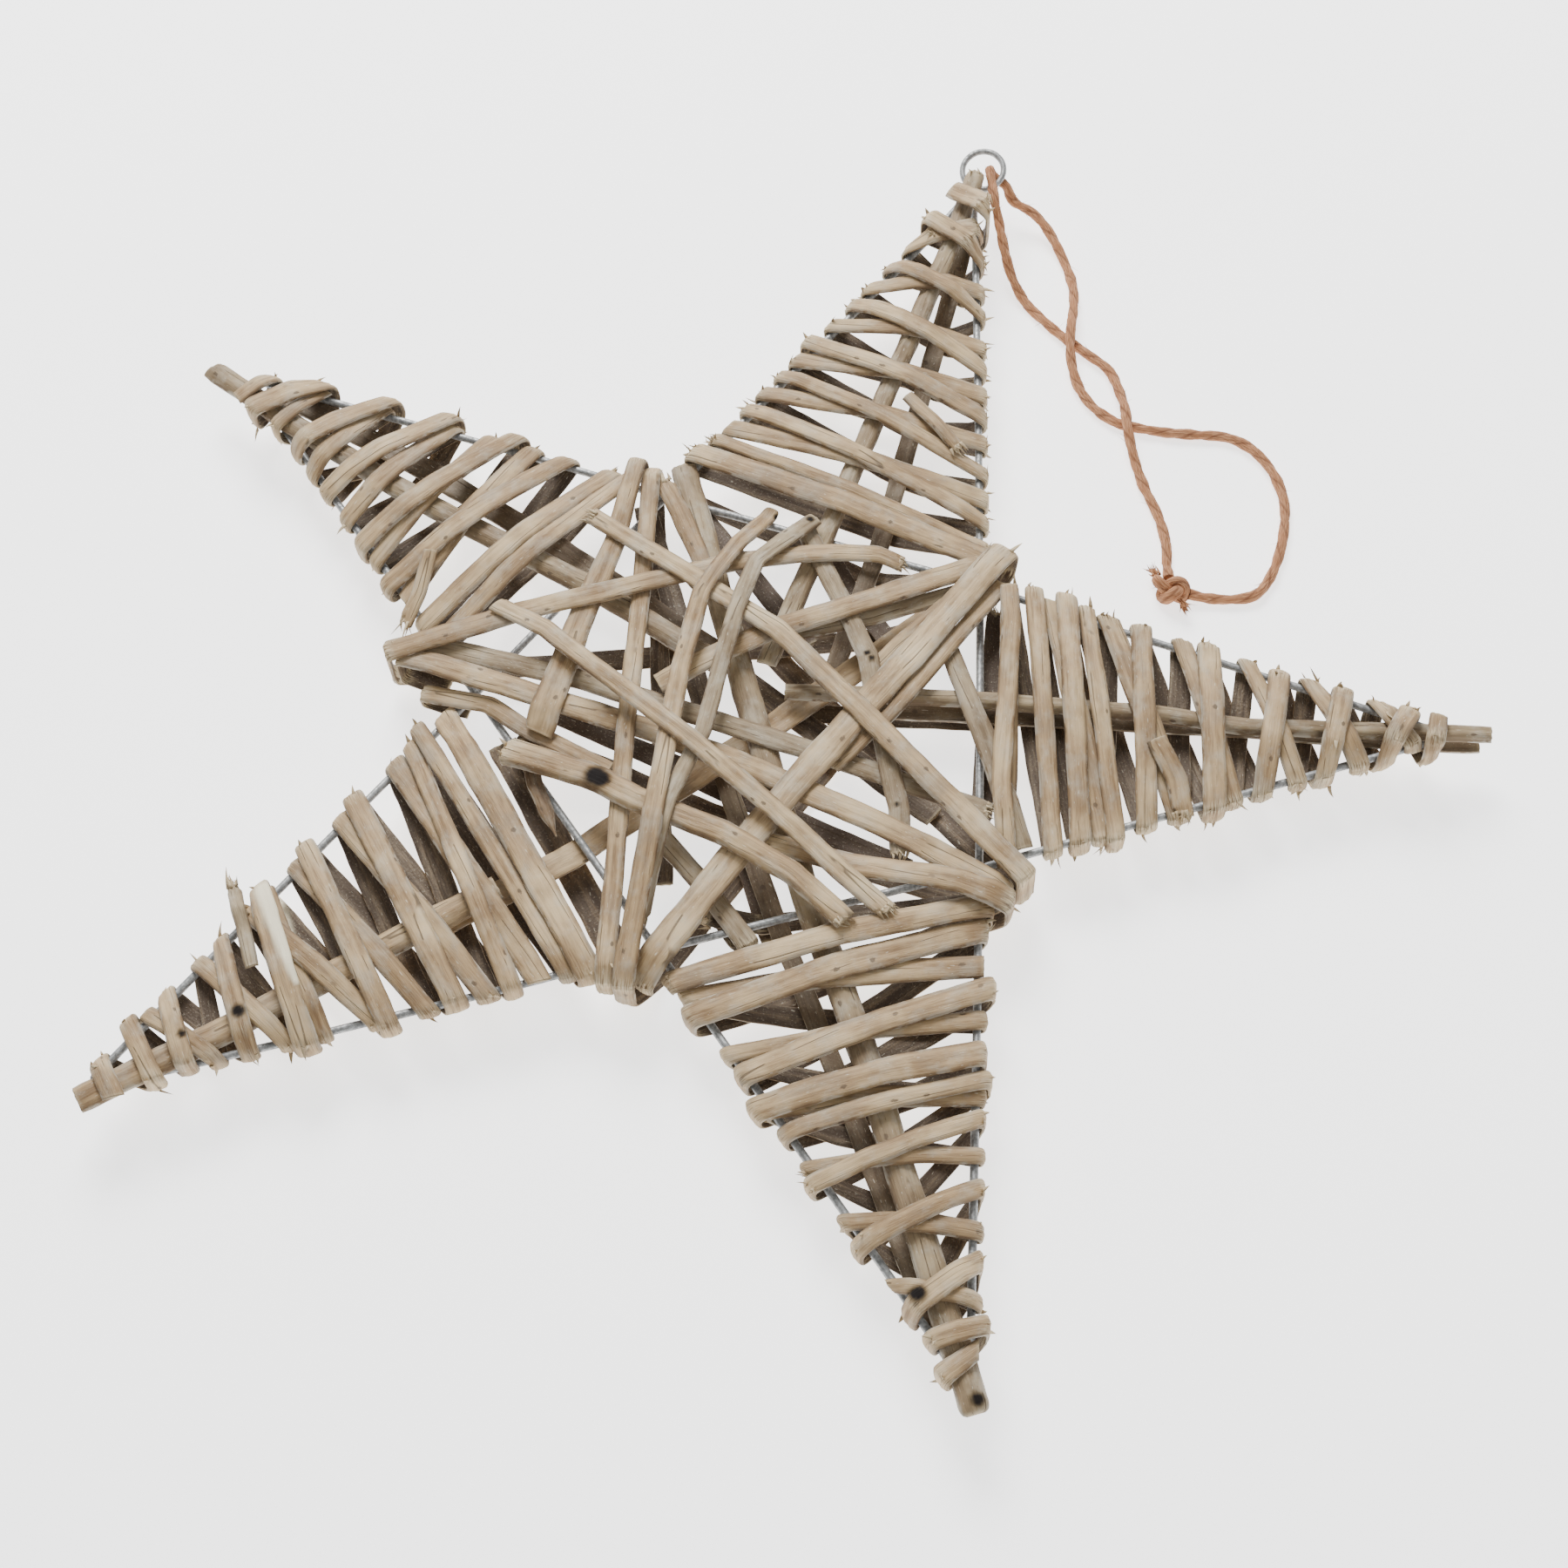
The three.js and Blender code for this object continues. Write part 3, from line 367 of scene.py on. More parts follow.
@dataclass
class Skin:
    """A closed skin over a grid of points: rows along the piece and columns round it."""

    points: Array
    along: Array
    around: Array
    values: dict[str, Array] = field(default_factory=dict)
    looped: bool = False

    def build(self, name: str) -> Piece:
        """Makes the mesh. Each face joins four neighbours of the grid, and a fan closes each end.

        Args:
            name: The object's name.

        Returns:
            The object, with its values as point attributes and its grain map in centimetres.
        """
        rows, columns = self.points.shape[:2]
        spans = rows if self.looped else rows - 1
        row = np.repeat(np.arange(spans), columns)
        column = np.tile(np.arange(columns), spans)
        corner_rows = np.stack([row, row, row + 1, row + 1], 1)
        corner_columns = np.stack([column, column + 1, column + 1, column], 1)
        points = self.points.reshape(-1, 3)
        quads = (corner_rows % rows) * columns + corner_columns % columns
        corners, starts = [quads.ravel()], [np.arange(len(quads)) * 4]
        along = np.append(self.along, self.along[-1])
        maps = [np.stack([along[corner_rows.ravel()], self.around[corner_columns.ravel()]], 1)]
        values = {key: grid.reshape(-1) for key, grid in self.values.items()}
        for end in () if self.looped else (0, rows - 1):
            ring = end * columns + np.arange(columns)
            after = np.roll(ring, -1)
            hub = np.full(columns, len(points))
            fan = np.stack([after, ring, hub] if end == 0 else [ring, after, hub], 1)
            starts.append(len(np.concatenate(corners)) + np.arange(columns) * 3)
            corners.append(fan.ravel())
            spread = self.around[np.repeat(np.arange(columns), 3)]
            maps.append(np.stack([np.full(3 * columns, along[end]), spread], 1))
            points = np.vstack([points, points[ring].mean(0)])
            values = {key: np.append(all_, 1.0 if key == "cut" else all_[ring].mean())
                      for key, all_ in values.items()}
        a, b, c = self.points[:-1, :-1], self.points[:-1, 1:], self.points[1:, :-1]
        middle = self.points[:-1].mean(1, keepdims=True)
        inside_out = (np.cross(b - a, c - a) * (a - middle)).sum() < 0
        grain = np.concatenate(maps) * CM_PER_M
        corner, start = np.concatenate(corners), np.concatenate(starts)
        return make_mesh(name, points, corner, start, grain, values, inside_out)


def frames_along(path: Array, looped: bool = False) -> tuple[Array, Array, Array]:
    """Direction, side and up at each point of a path, as unit vectors, with the side kept level.

    Args:
        path: Points along the path.
        looped: Whether the last point is followed by the first.

    Returns:
        The three arrays.
    """
    ahead = np.roll(path, -1, 0) - np.roll(path, 1, 0)
    if not looped:
        ahead[0], ahead[-1] = path[1] - path[0], path[-1] - path[-2]
    ahead /= np.linalg.norm(ahead, axis=1, keepdims=True)
    side = np.cross(ahead, [0.0, 0.0, 1.0])
    side /= np.maximum(np.linalg.norm(side, axis=1, keepdims=True), 1e-9)
    return ahead, side, np.cross(side, ahead)


def curve_through(points: Array, steps: int, looped: bool = False) -> Array:
    """A smooth curve through points: on each span the four nearest points are joined by a cubic.

    Args:
        points: The points to pass.
        steps: How many parts each span is divided into.
        looped: Whether the curve closes on itself.

    Returns:
        Points along the curve.
    """
    if looped:
        before, here, there, after = (np.roll(points, k, 0) for k in (1, 0, -1, -2))
    else:
        padded = np.vstack([2 * points[0] - points[1], points, 2 * points[-1] - points[-2]])
        before, here, there, after = padded[:-3], padded[1:-2], padded[2:-1], padded[3:]
    t = (np.arange(steps) / steps)[None, :, None]
    b, h, th, a = (x[:, None] for x in (before, here, there, after))
    curve = 0.5 * (2 * h + (th - b) * t + (2 * b - 5 * h + 4 * th - a) * t ** 2
                   + (3 * h - 3 * th + a - b) * t ** 3)
    curve = curve.reshape(-1, 3)
    return curve if looped else np.vstack([curve, points[-1]])


def unit(arrows: Array) -> Array:
    """Each of the vectors at length 1."""
    return arrows / np.linalg.norm(arrows, axis=-1, keepdims=True)


def spokes(side: Array, up: Array, angle: Array) -> Array:
    """Unit arrows round a path: side times the cosine plus up times the sine of each angle."""
    return side[:, None] * np.cos(angle)[None, :, None] + up[:, None] * np.sin(angle)[None, :, None]


def length_along(path: Array) -> Array:
    """Distance from the first point to each point of a path."""
    return np.concatenate([[0.0], np.linalg.norm(np.diff(path, axis=0), axis=1).cumsum()])


@dataclass
class Blades:
    """Thin tapered splinters or hairs, gathered from many places and made as one mesh."""

    groups: list[tuple[Array, Array, Array, Array]] = field(default_factory=list)

    def add(self, base: Array, ahead: Array, side: Array, sizes: Array) -> None:
        """Gathers some blades.

        Args:
            base: Where each one grows from, in metres.
            ahead: The way each one points.
            side: The way each one is wide.
            sizes: Length, width and thickness of each, in millimetres.
        """
        self.groups.append((base, unit(ahead), unit(side), sizes))

    def build(self, name: str, rows: int = 5) -> Piece:
        """Makes every blade as rows of four corners that narrow to a point and curve aside.

        Blades that would reach through the floor are left out.

        Args:
            name: The object's name.
            rows: Cross-sections of each blade.

        Returns:
            The object, with the values that the willow and twine finishes read.
        """
        rng = seed_of(name)
        base, ahead, side, sizes = (np.concatenate(part) for part in zip(*self.groups))
        count = len(base)
        thick = np.cross(side, ahead)
        share = np.linspace(0, 1, rows)[None, :, None]
        length, width, depth = (sizes[:, k, None, None] * MM for k in range(3))
        curl = rng.normal(0, 0.22, (count, 1, 1)) * side[:, None]
        curl = curl + rng.normal(0.08, 0.2, (count, 1, 1)) * thick[:, None]
        middle = base[:, None] + ahead[:, None] * length * share + curl * length * share ** 2
        left = 1 - 0.93 * share ** 1.6
        corners = [middle + left / 2 * (a * width * side[:, None] + b * depth * thick[:, None])
                   for a, b in ((-1, -1), (1, -1), (1, 1), (-1, 1))]
        points = np.stack(corners, 2)
        clear = points[..., 2].min((1, 2)) > 0
        points = points[clear]
        number = np.arange(points[..., 0].size).reshape(-1, rows, 4)
        after = np.roll(number, -1, 2)
        sides = np.stack([number[:, :-1], after[:, :-1], after[:, 1:], number[:, 1:]], -1).reshape(-1, 4)
        faces = np.concatenate([sides, number[:, 0, ::-1], number[:, -1]])
        shift = rng.uniform(0, 0.5, (count, 1, 1))[clear]
        along = (length * share)[clear] + shift + 0 * points[..., 0]
        around = shift + 0.0004 * np.arange(4) + 0 * points[..., 0]
        grain = np.stack([along, around], -1).reshape(-1, 2)[faces.ravel()] * CM_PER_M
        tone_and_shade = np.broadcast_to(rng.uniform(0.4, 1.0, (count, 1, 1))[clear], number.shape).ravel()
        start, values = np.arange(len(faces)) * 4, {"tone_and_shade": tone_and_shade, "cut": 0.9 * tone_and_shade}
        return make_mesh(name, points.reshape(-1, 3), faces.ravel(), start, grain, values)


class Rings:
    """The cross-sections of one packed strip or rod, in order from its start."""

    def __init__(self, node: str, start: tuple[float, float]) -> None:
        """Reads a node's mesh and puts its rings of four corners in order.

        Args:
            node: The CAD node's name.
            start: The place, in the star frame in millimetres, near which the strip begins.
        """
        points, triangles = self.welded(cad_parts[node])
        near = np.zeros((len(points), len(points)), bool)
        for a, b in ((0, 1), (1, 2), (2, 0)):
            near[triangles[:, a], triangles[:, b]] = True
            near[triangles[:, b], triangles[:, a]] = True
        walks = [self.walk(near, self.first_ring(points, near), turn) for turn in (1, -1)]
        longest = max(len(walk) for walk in walks)
        walks = [points[walk] for walk in walks if len(walk) == longest]
        rings = min(walks, key=lambda walk: np.linalg.norm(np.diff(walk, axis=0), axis=2).sum())
        wide = np.linalg.norm(np.roll(rings, -1, 1) - rings, axis=2).mean(0).argmax()
        rings = np.roll(rings, -wide, 1)
        begin = (np.array(start) + SHIFT[:2]) * MM
        if np.linalg.norm(rings[0].mean(0)[:2] - begin) > np.linalg.norm(rings[-1].mean(0)[:2] - begin):
            rings = rings[::-1, [1, 0, 3, 2]]
        self.corners = rings

    @staticmethod
    def welded(node: bpy.types.Object) -> tuple[Array, Array]:
        """A node's points without doubles, and its triangles as rows of three point numbers."""
        flat = np.empty(len(node.data.vertices) * 3, np.float32)
        node.data.vertices.foreach_get("co", flat)
        corners = np.empty(len(node.data.loops), np.int32)
        node.data.loops.foreach_get("vertex_index", corners)
        rounded = np.round(flat.reshape(-1, 3).astype(float), 7)
        points, place = np.unique(rounded, axis=0, return_inverse=True)
        return points, place.ravel()[corners].reshape(-1, 3)

    @staticmethod
    def first_ring(points: Array, near: Array) -> Array:
        """The four corners of one end, in order round it.

        Away from the ends each corner has six edges. At an end two facing corners have five and the
        other two have four. A strip of two rings only is split along its longest direction instead.
        """
        joins = near.sum(1)
        ends = joins < 6
        if len(points) == 8:
            axis, u, v = np.linalg.svd(points - points.mean(0))[2]
            chosen = np.argsort((points - points.mean(0)) @ axis)[:4]
            flat = points[chosen] - points[chosen].mean(0)
            return chosen[np.argsort(np.arctan2(flat @ u, flat @ v))]
        seed = np.flatnonzero(ends & (joins == 5))[0]
        others = np.flatnonzero(near[seed] & ends)
        across = others[joins[others] == 5][0]
        beside = others[joins[others] == 4]
        return np.array([seed, beside[0], across, beside[1]])

    @staticmethod
    def walk(near: Array, ring: Array, turn: int) -> Array:
        """Goes from ring to ring: each corner's next one touches the corner and its neighbour.

        Args:
            near: Which points share an edge.
            ring: The first ring's point numbers.
            turn: Which neighbour it is, 1 or -1.

        Returns:
            Point numbers, one row of four for each ring.
        """
        rings, seen = [ring], np.zeros(len(near), bool)
        while True:
            seen[rings[-1]] = True
            fresh = near[rings[-1]] & ~seen
            both = fresh & np.roll(fresh, turn, 0)
            if not both.any(1).all():
                return np.array(rings)
            rings.append(both.argmax(1))


# Lengths of a strip's slow waves and worn ends, in millimetres, and the least sharp bend, in degrees
EDGE_WAVE, HEIGHT_WAVE, RIDGE_WAVE, TONE_WAVE = 38, 24, 55, 90
FOLD_REACH, END_REACH, ROUND_REACH, POINT_REACH = 1.9, 3.6, 3.0, 9.0
SHARP_BEND = 28


@dataclass
class Strip:
    """One willow strip or rod, laid over the solid of its node.

    `ends` has the letters of the two ends. `bend` is how far a rounded bend reaches and `spacing` the
    distance of the rows, in millimetres. `whiskers` is the mean number of splinters at a sharp bend, and
    `crown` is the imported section's width at its outer side as a share of that at its inner side.
    """

    node: str
    finish: str
    start: tuple[float, float] = (0.0, 0.0)
    ends: str = "CC"
    # A whole piece's tone: partly random, partly painted shade, lower for pieces lying further back.
    tone_and_shade: float = 1.0
    bend: float = 1.3
    whiskers: float = 0.8
    crown: float = 0.75
    roundness: float = 2.2
    columns: int = 18
    spacing: float = 1.7
    crease: float = 1.0
    # darkness: the share of the inner side's colours on the underside, which are partly the inner side's own
    # and partly painted shade.
    darkness: float = 1.0
    marks: Spots = ()
    fresh: Spots = ()
    slot: str = "willow_strip"

    def eased(self, corners: Array) -> Array:
        """Rounds the bends: each is an arc between a point before it and one after it.

        The arc is a parabola that starts and ends on the straight runs, at most `bend` from the corner.

        Args:
            corners: Rings of four corners.

        Returns:
            More rings, at uneven distances.
        """
        if len(corners) < 3:
            return corners
        middle = corners.mean(1)
        runs = np.linalg.norm(np.diff(middle, axis=0), axis=1)
        share = np.minimum(self.bend * MM, 0.45 * runs) / np.maximum(runs, 1e-9)
        here, before, after = corners[1:-1], corners[:-2], corners[2:]
        leave = here + (before - here) * share[:-1, None, None]
        join = here + (after - here) * share[1:, None, None]
        t = np.linspace(0, 1, 6)[None, :, None, None]
        arc = (1 - t) ** 2 * leave[:, None] + 2 * t * (1 - t) * here[:, None] + t ** 2 * join[:, None]
        return np.concatenate([corners[:1], arc.reshape(-1, 4, 3), corners[-1:]])

    def spaced(self, corners: Array) -> tuple[Array, Array]:
        """Rings close enough for the grain and the ends, without any that nearly coincide.

        Args:
            corners: Rings of four corners at uneven distances.

        Returns:
            The rings and their distances from the start, in metres.
        """
        where = length_along(corners.mean(1))
        total = where[-1]
        even = np.linspace(0, total, max(2, int(total / (self.spacing * MM)) + 1))
        tails = np.linspace(0, min(4 * MM, total / 3), 12)
        wanted = np.unique(np.concatenate([even, where, tails, total - tails]))
        wanted = wanted[np.concatenate([[True], np.diff(wanted) > 0.12 * MM])]
        wanted[-1] = total
        flat = corners.reshape(len(corners), -1)
        found = np.stack([np.interp(wanted, where, column) for column in flat.T], 1)
        return found.reshape(-1, 4, 3), wanted

    def folds(self, rings: Array, middles: Array, where: Array, rng: Random) -> Array:
        """Finds the sharp bends, adds the splinters that stand out of them, and says how near each row is.

        Split willow breaks on the outside of a bend, so its fibres point on along the run before the bend,
        or back along the run after it.

        Args:
            rings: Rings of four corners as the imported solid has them.
            middles: Middle of each spaced row.
            where: Distance of each spaced row, in metres.
            rng: Gives the splinters.

        Returns:
            For each row a share that is 1 in the middle of a sharp bend.
        """
        near = np.zeros(len(where))
        if len(rings) < 3:
            return near
        run = unit(np.diff(rings.mean(1), axis=0))
        turned = np.degrees(np.arccos(np.clip((run[:-1] * run[1:]).sum(1), -1, 1)))
        for k in np.flatnonzero(turned > SHARP_BEND):
            ring = rings[k + 1]
            at = where[np.linalg.norm(middles - ring.mean(0), axis=1).argmin()]
            bell = np.exp(-((where - at) / (FOLD_REACH * MM)) ** 2)
            near = np.maximum(near, smooth((turned[k] - 15) / 45) * bell)
            count = rng.poisson(self.whiskers)
            if count:
                share = rng.uniform(0.04, 0.96, (count, 1))
                lean = rng.uniform(0, 1, (count, 1)) ** 0.7
                across = ring[2] - ring[3]
                out = unit(run[k] * (1 - lean) - run[k + 1] * lean) + rng.normal(0, 0.2, (count, 3))
                sizes = np.column_stack([rng.gamma(2.5, 0.55, count) + 1.0, rng.uniform(0.4, 1.4, count),
                                         rng.uniform(0.2, 0.45, count)])
                sunk = (0.25 * self.bend + 0.3) * MM * (run[k] - run[k + 1])
                SPLINTERS.add(ring[3] + share * across - sunk, out, np.repeat(across[None], count, 0), sizes)
        return near

    def fray(self, rings: Array, rng: Random) -> None:
        """Adds fibres that stand out of a frayed end, along the strip."""
        count = 12
        for end, ring, inward in zip(self.ends, (rings[0], rings[-1]), (rings[1], rings[-2])):
            if End(end) is End.FRAYED:
                share, height = rng.uniform(0.02, 0.98, (2, count, 1))
                below = ring[0] + share * (ring[1] - ring[0])
                above = ring[3] + share * (ring[2] - ring[3])
                ahead = unit(ring.mean(0) - inward.mean(0))
                sizes = np.column_stack([rng.gamma(2.5, 0.6, count) + 1.6, rng.uniform(0.4, 1.2, count),
                                         rng.uniform(0.12, 0.35, count)])
                base = below * (1 - height) + above * height - 1.8 * MM * ahead
                across = np.repeat((ring[1] - ring[0])[None], count, 0)
                SPLINTERS.add(base, ahead + rng.normal(0, 0.14, (count, 3)), across, sizes)

    def section(self) -> tuple[Array, Array]:
        """Half-round section as shares of the width and the thickness.

        The top is a superellipse: share p across is the cosine and share q up is the sine of an angle,
        each raised to two over the roundness. The bottom is nearly flat, with its middle a little hollow.

        Returns:
            Shares across from -1 to 1 and up from 0 to 1.
        """
        angle = np.linspace(0, math.pi, self.columns - 6)
        power = 2 / self.roundness
        p = np.sign(np.cos(angle)) * np.abs(np.cos(angle)) ** power
        q = 0.12 + 0.88 * np.sin(angle) ** power
        bottom = np.linspace(-0.95, 0.95, 6)
        return np.append(p, bottom), np.append(q, 0.07 * (1 - np.abs(bottom)) ** 0.5)

    def end_shape(self, away: Array, p: Array, end: End, rng: Random) -> tuple[Array, Array]:
        """How far each point moves outwards at an end, and what share of its size is left.

        Args:
            away: Distance of each row from the end, in metres.
            p: Shares across the section.
            end: The kind of end.
            rng: Gives the splinters.

        Returns:
            Moves in metres and size shares, each as rows by columns.
        """
        close = smooth(1 - away / (END_REACH * MM))[:, None]
        level = np.zeros((len(away), len(p)))
        if end is End.FRAYED:
            teeth = np.interp(p, np.linspace(-1, 1, 9), rng.uniform(-2.6, 0.7, 9)) * MM
            return close * teeth[None], 1 - 0.5 * close * np.abs(teeth[None]) / (2.6 * MM)
        if end is End.SLANT:
            return close * (-1.6 * MM) * (1 + p[None]) / 2, 1 - 0.12 * close + level
        if end is End.ROUND:
            left = np.clip(away / (ROUND_REACH * MM), 0, 1)
            return level, (0.35 + 0.65 * np.sqrt(1 - (1 - left) ** 2))[:, None] + level
        if end is End.POINTED:
            left = np.clip(away / (POINT_REACH * MM), 0, 1)
            return level, (0.12 + 0.88 * smooth(left))[:, None] + level
        teeth = rng.uniform(-0.35, 0.0, len(p)) * MM
        return close * teeth[None], 1 - 0.08 * close + level

    def build(self) -> Piece:
        """Lays the half-round section along the rounded rings and dresses it.

        A point is the inner middle moved up by its share q of the thickness and across by its share p of
        the half width. Slow waves change the edges, the height and the tone, and fine ridges follow the
        grain.

        Returns:
            The finished piece, riding on the root body in place of its node.
        """
        rng = seed_of(self.node)
        rings = Rings(self.node, self.start).corners
        corners, where = self.spaced(self.eased(rings))
        p, q = self.section()
        inner, outer = corners[:, :2].mean(1), corners[:, 2:].mean(1)
        half_inner = (corners[:, 1] - corners[:, 0]) / 2
        half_outer = (corners[:, 2] - corners[:, 3]) / 2 / self.crown
        where_mm = where / MM
        left, right = (wander(where_mm, EDGE_WAVE, rng) for _ in range(2))
        across = p[None] * (1.0 + 0.07 * np.where(p[None] > 0, left[:, None], right[:, None]))
        start_move, start_left = self.end_shape(where, p, End(self.ends[0]), rng)
        end_move, end_left = self.end_shape(where[-1] - where, p, End(self.ends[1]), rng)
        left_over = start_left * end_left
        up = q[None] * (0.94 + 0.05 * wander(where_mm, HEIGHT_WAVE, rng)[:, None]) * left_over
        ridges = sum(
            weight * np.sin(p[None] * count + 0.6 * wander(where_mm, RIDGE_WAVE, rng)[:, None]
                            + rng.uniform(0, 6))
            for count, weight in ((7, 0.035), (12, 0.025), (19, 0.018)))
        near = self.folds(rings, corners.mean(1), where, rng)[:, None]
        self.fray(rings, rng)
        rough = rng.normal(0, 1, (len(where), 1)) * 0.4 + rng.normal(0, 1, up.shape)
        torn = 0.085 * self.crease * np.clip(rough, -2, 2) * near
        up = up + (ridges * left_over + torn) * (q[None] > 0.5)
        across = across * (left_over if End.POINTED.value in self.ends else 0.35 + 0.65 * left_over)
        half = (1 - q)[None, :, None] * half_inner[:, None] + q[None, :, None] * half_outer[:, None]
        points = inner[:, None] + up[..., None] * (outer - inner)[:, None] + across[..., None] * half
        points += (end_move - start_move)[..., None] * unit(np.gradient(inner, where, axis=0))[:, None]
        level = np.zeros_like(up)
        # Tone along the piece: the piece's own value, which is partly painted shade, with a slow random
        # wave.
        tone_and_shade = np.clip(self.tone_and_shade + 0.22 * wander(where_mm, TONE_WAVE, rng), 0, 1)[:, None]
        tips = smooth(1 - np.minimum(where, where[-1] - where) / (1.2 * MM))[:, None]
        values = {
            "edge": level + np.clip((np.abs(p) - 0.8) / 0.2, 0, 1) * (q > 0.1),
            # The underside takes the inner side's colours: partly own colour, partly painted shade.
            "inner": level + self.darkness * (q < 0.1),
            # Darker rounded sides, partly stain and partly painted shade.
            "side": level + smooth((np.abs(p) - 0.6) / 0.4) * (q > 0.1),
            "tone_and_shade": level + tone_and_shade,
            "cut": level + 0.6 * tips,
            "fold": level + self.crease * near,
            "mark": self.spotted(points, self.marks),
            "fresh": self.spotted(points, self.fresh),
        }
        skin = Skin(points, where + rng.uniform(0, 1), np.linspace(0, 0.012, self.columns + 1), values)
        return Finishes.wear(skin.build(f"{self.node}_willow"), self.finish, self.slot, self.node)

    @staticmethod
    def spotted(points: Array, spots: Spots) -> Array:
        """Round spots given by place and radius: 1 in the middle of one, falling to 0 just outside it."""
        found = np.zeros(points.shape[:2])
        for x, y, radius in spots:
            middle = (np.array([x, y]) + SHIFT[:2]) * MM
            apart = np.linalg.norm(points[..., :2] - middle, axis=2)
            found = np.maximum(found, smooth((1.5 - apart / (radius * MM)) * 1.1))
        return found


SPLINTERS = Blades()
HAIRS = Blades()


class Finishes:
    """The finishes, each made once."""

    made: dict[str, Material] = {}
    table = {
        "tan": WillowFinish("split_willow_tan", (222, 196, 152), (186, 156, 114), (134, 106, 72),
                            (134, 116, 92), 0.35),
        "pale": WillowFinish("split_willow_pale", (230, 206, 164), (198, 170, 128), (148, 120, 84),
                             (128, 108, 82), 0.4),
        "grey": WillowFinish("split_willow_grey", (200, 182, 150), (168, 149, 118), (124, 104, 76),
                             (114, 98, 76), 0.45),
        "brown": WillowFinish("split_willow_brown", (158, 130, 94), (124, 99, 70), (86, 66, 46),
                              (84, 66, 50), 0.25),
        "rod": WillowFinish("willow_rod_grey", (190, 170, 134), (156, 134, 102), (112, 92, 66),
                            (96, 80, 62), 0.45),
        "zinc": ZincFinish(),
        "twine": TwineFinish(),
    }

    @classmethod
    def wear(cls, piece: Piece, finish: str, slot: str, node: str | None = None) -> Piece:
        """Dresses a piece and gives it its place in the frame.

        Args:
            piece: The piece.
            finish: Its finish in the table.
            slot: Not used.
            node: The CAD node that it replaces, if it does.

        Returns:
            The piece, riding on the root body.
        """
        if finish not in cls.made:
            cls.made[finish] = cls.table[finish].material()
        piece.data.materials.append(cls.made[finish])
        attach(piece, "root")
        if node:
            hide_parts(node)
        log.info("%s: %d faces", piece.name, len(piece.data.polygons))
        return piece


# The star's tips, where the rods and windings start, in the star frame
TIPS = ((0.4, 213.98), (-196.51, 63.89), (-127.7, -172.6), (126.8, -166.6), (197.0, 61.5))


@dataclass
class Arms:
    """The rods and the two windings of each of the five arms."""

    # Tones of the rods, partly random and partly painted shade: the back rods, which lie under the windings,
    # are darker, all but arm 3's.
    front_tones_and_shade: tuple[float, ...] = (0.8, 0.7, 0.7, 0.7, 0.7)
    back_tones_and_shade: tuple[float, ...] = (0.4, 0.4, 0.7, 0.4, 0.5)
    whiskers: tuple[float, ...] = (2.2, 0.9, 0.8, 0.8, 1.6)
    front_ends: tuple[str, ...] = ("CC", "SC", "CC", "RC", "CC")
    rod_marks: tuple[Spots, ...] = ((), (), (), ((129.7, -169.3, 1.9),), ())
    marks: tuple[Spots, ...] = (
        (), (), ((-94.5, -138.8, 2.0), (-106.2, -150.1, 1.2)), ((106.9, -149.8, 2.4),), ())
    loose: tuple[tuple[str, str, float, float], ...] = (
        ("arm_1_broken_strip", "tan", 0, 120),
        ("arm_2_cut_end", "tan", -100, 30),
        ("arm_3_cut_end", "grey", -100, -140),
        ("arm_5_cut_end", "tan", 110, 20),
    )

    @staticmethod
    def wedge() -> Spots:
        """The fresh cut on arm 3, a row of spots that narrows along its strip."""
        shares = np.linspace(0, 1, 44).tolist()
        return tuple((-105.3 + 22 * s, -101.9 - 23.3 * s, 3.1 - 2.1 * s) for s in shares)

    def build(self) -> None:
        """Makes the rods, then the windings from the inner one outwards."""
        rod = {"crown": 0.6, "roundness": 2.1, "columns": 20, "bend": 4, "slot": "willow_rod"}
        finishes = ("rod", "rod", "tan", "rod", "rod")
        for k, finish in enumerate(finishes):
            Strip(f"arm_{k + 1}_front_rod", finish, TIPS[k], self.front_ends[k], self.front_tones_and_shade[k],
                  darkness=0.3, marks=self.rod_marks[k], **rod).build()
        # Back rods get darker undersides as painted shade, except the tan rod of arm 3, which lies in the
        # front bed under the windings.
        for k, finish in enumerate(finishes):
            Strip(f"arm_{k + 1}_back_rod", finish, TIPS[k], tone_and_shade=self.back_tones_and_shade[k],
                  darkness=0.0 if finish == "tan" else 0.55, **rod).build()
        for k, whiskers in enumerate(self.whiskers):
            # The first winding lies under the second and gets the lower tone: painted shade.
            for order, tone_and_shade in (("first", 0.6), ("second", 0.85)):
                cut_open = k == 2 and order == "second"
                Strip(f"arm_{k + 1}_{order}_winding", "tan", TIPS[k], tone_and_shade=tone_and_shade, whiskers=whiskers,
                      bend=1.5 if k in (0, 4) else 2.8, crease=min(1.0, whiskers / 1.6), marks=self.marks[k],
                      fresh=self.wedge() if cut_open else (), spacing=0.9 if k == 2 else 1.7).build()
        for name, finish, x, y in self.loose:
            Strip(name, finish, (x, y), "CF", 0.7).build()


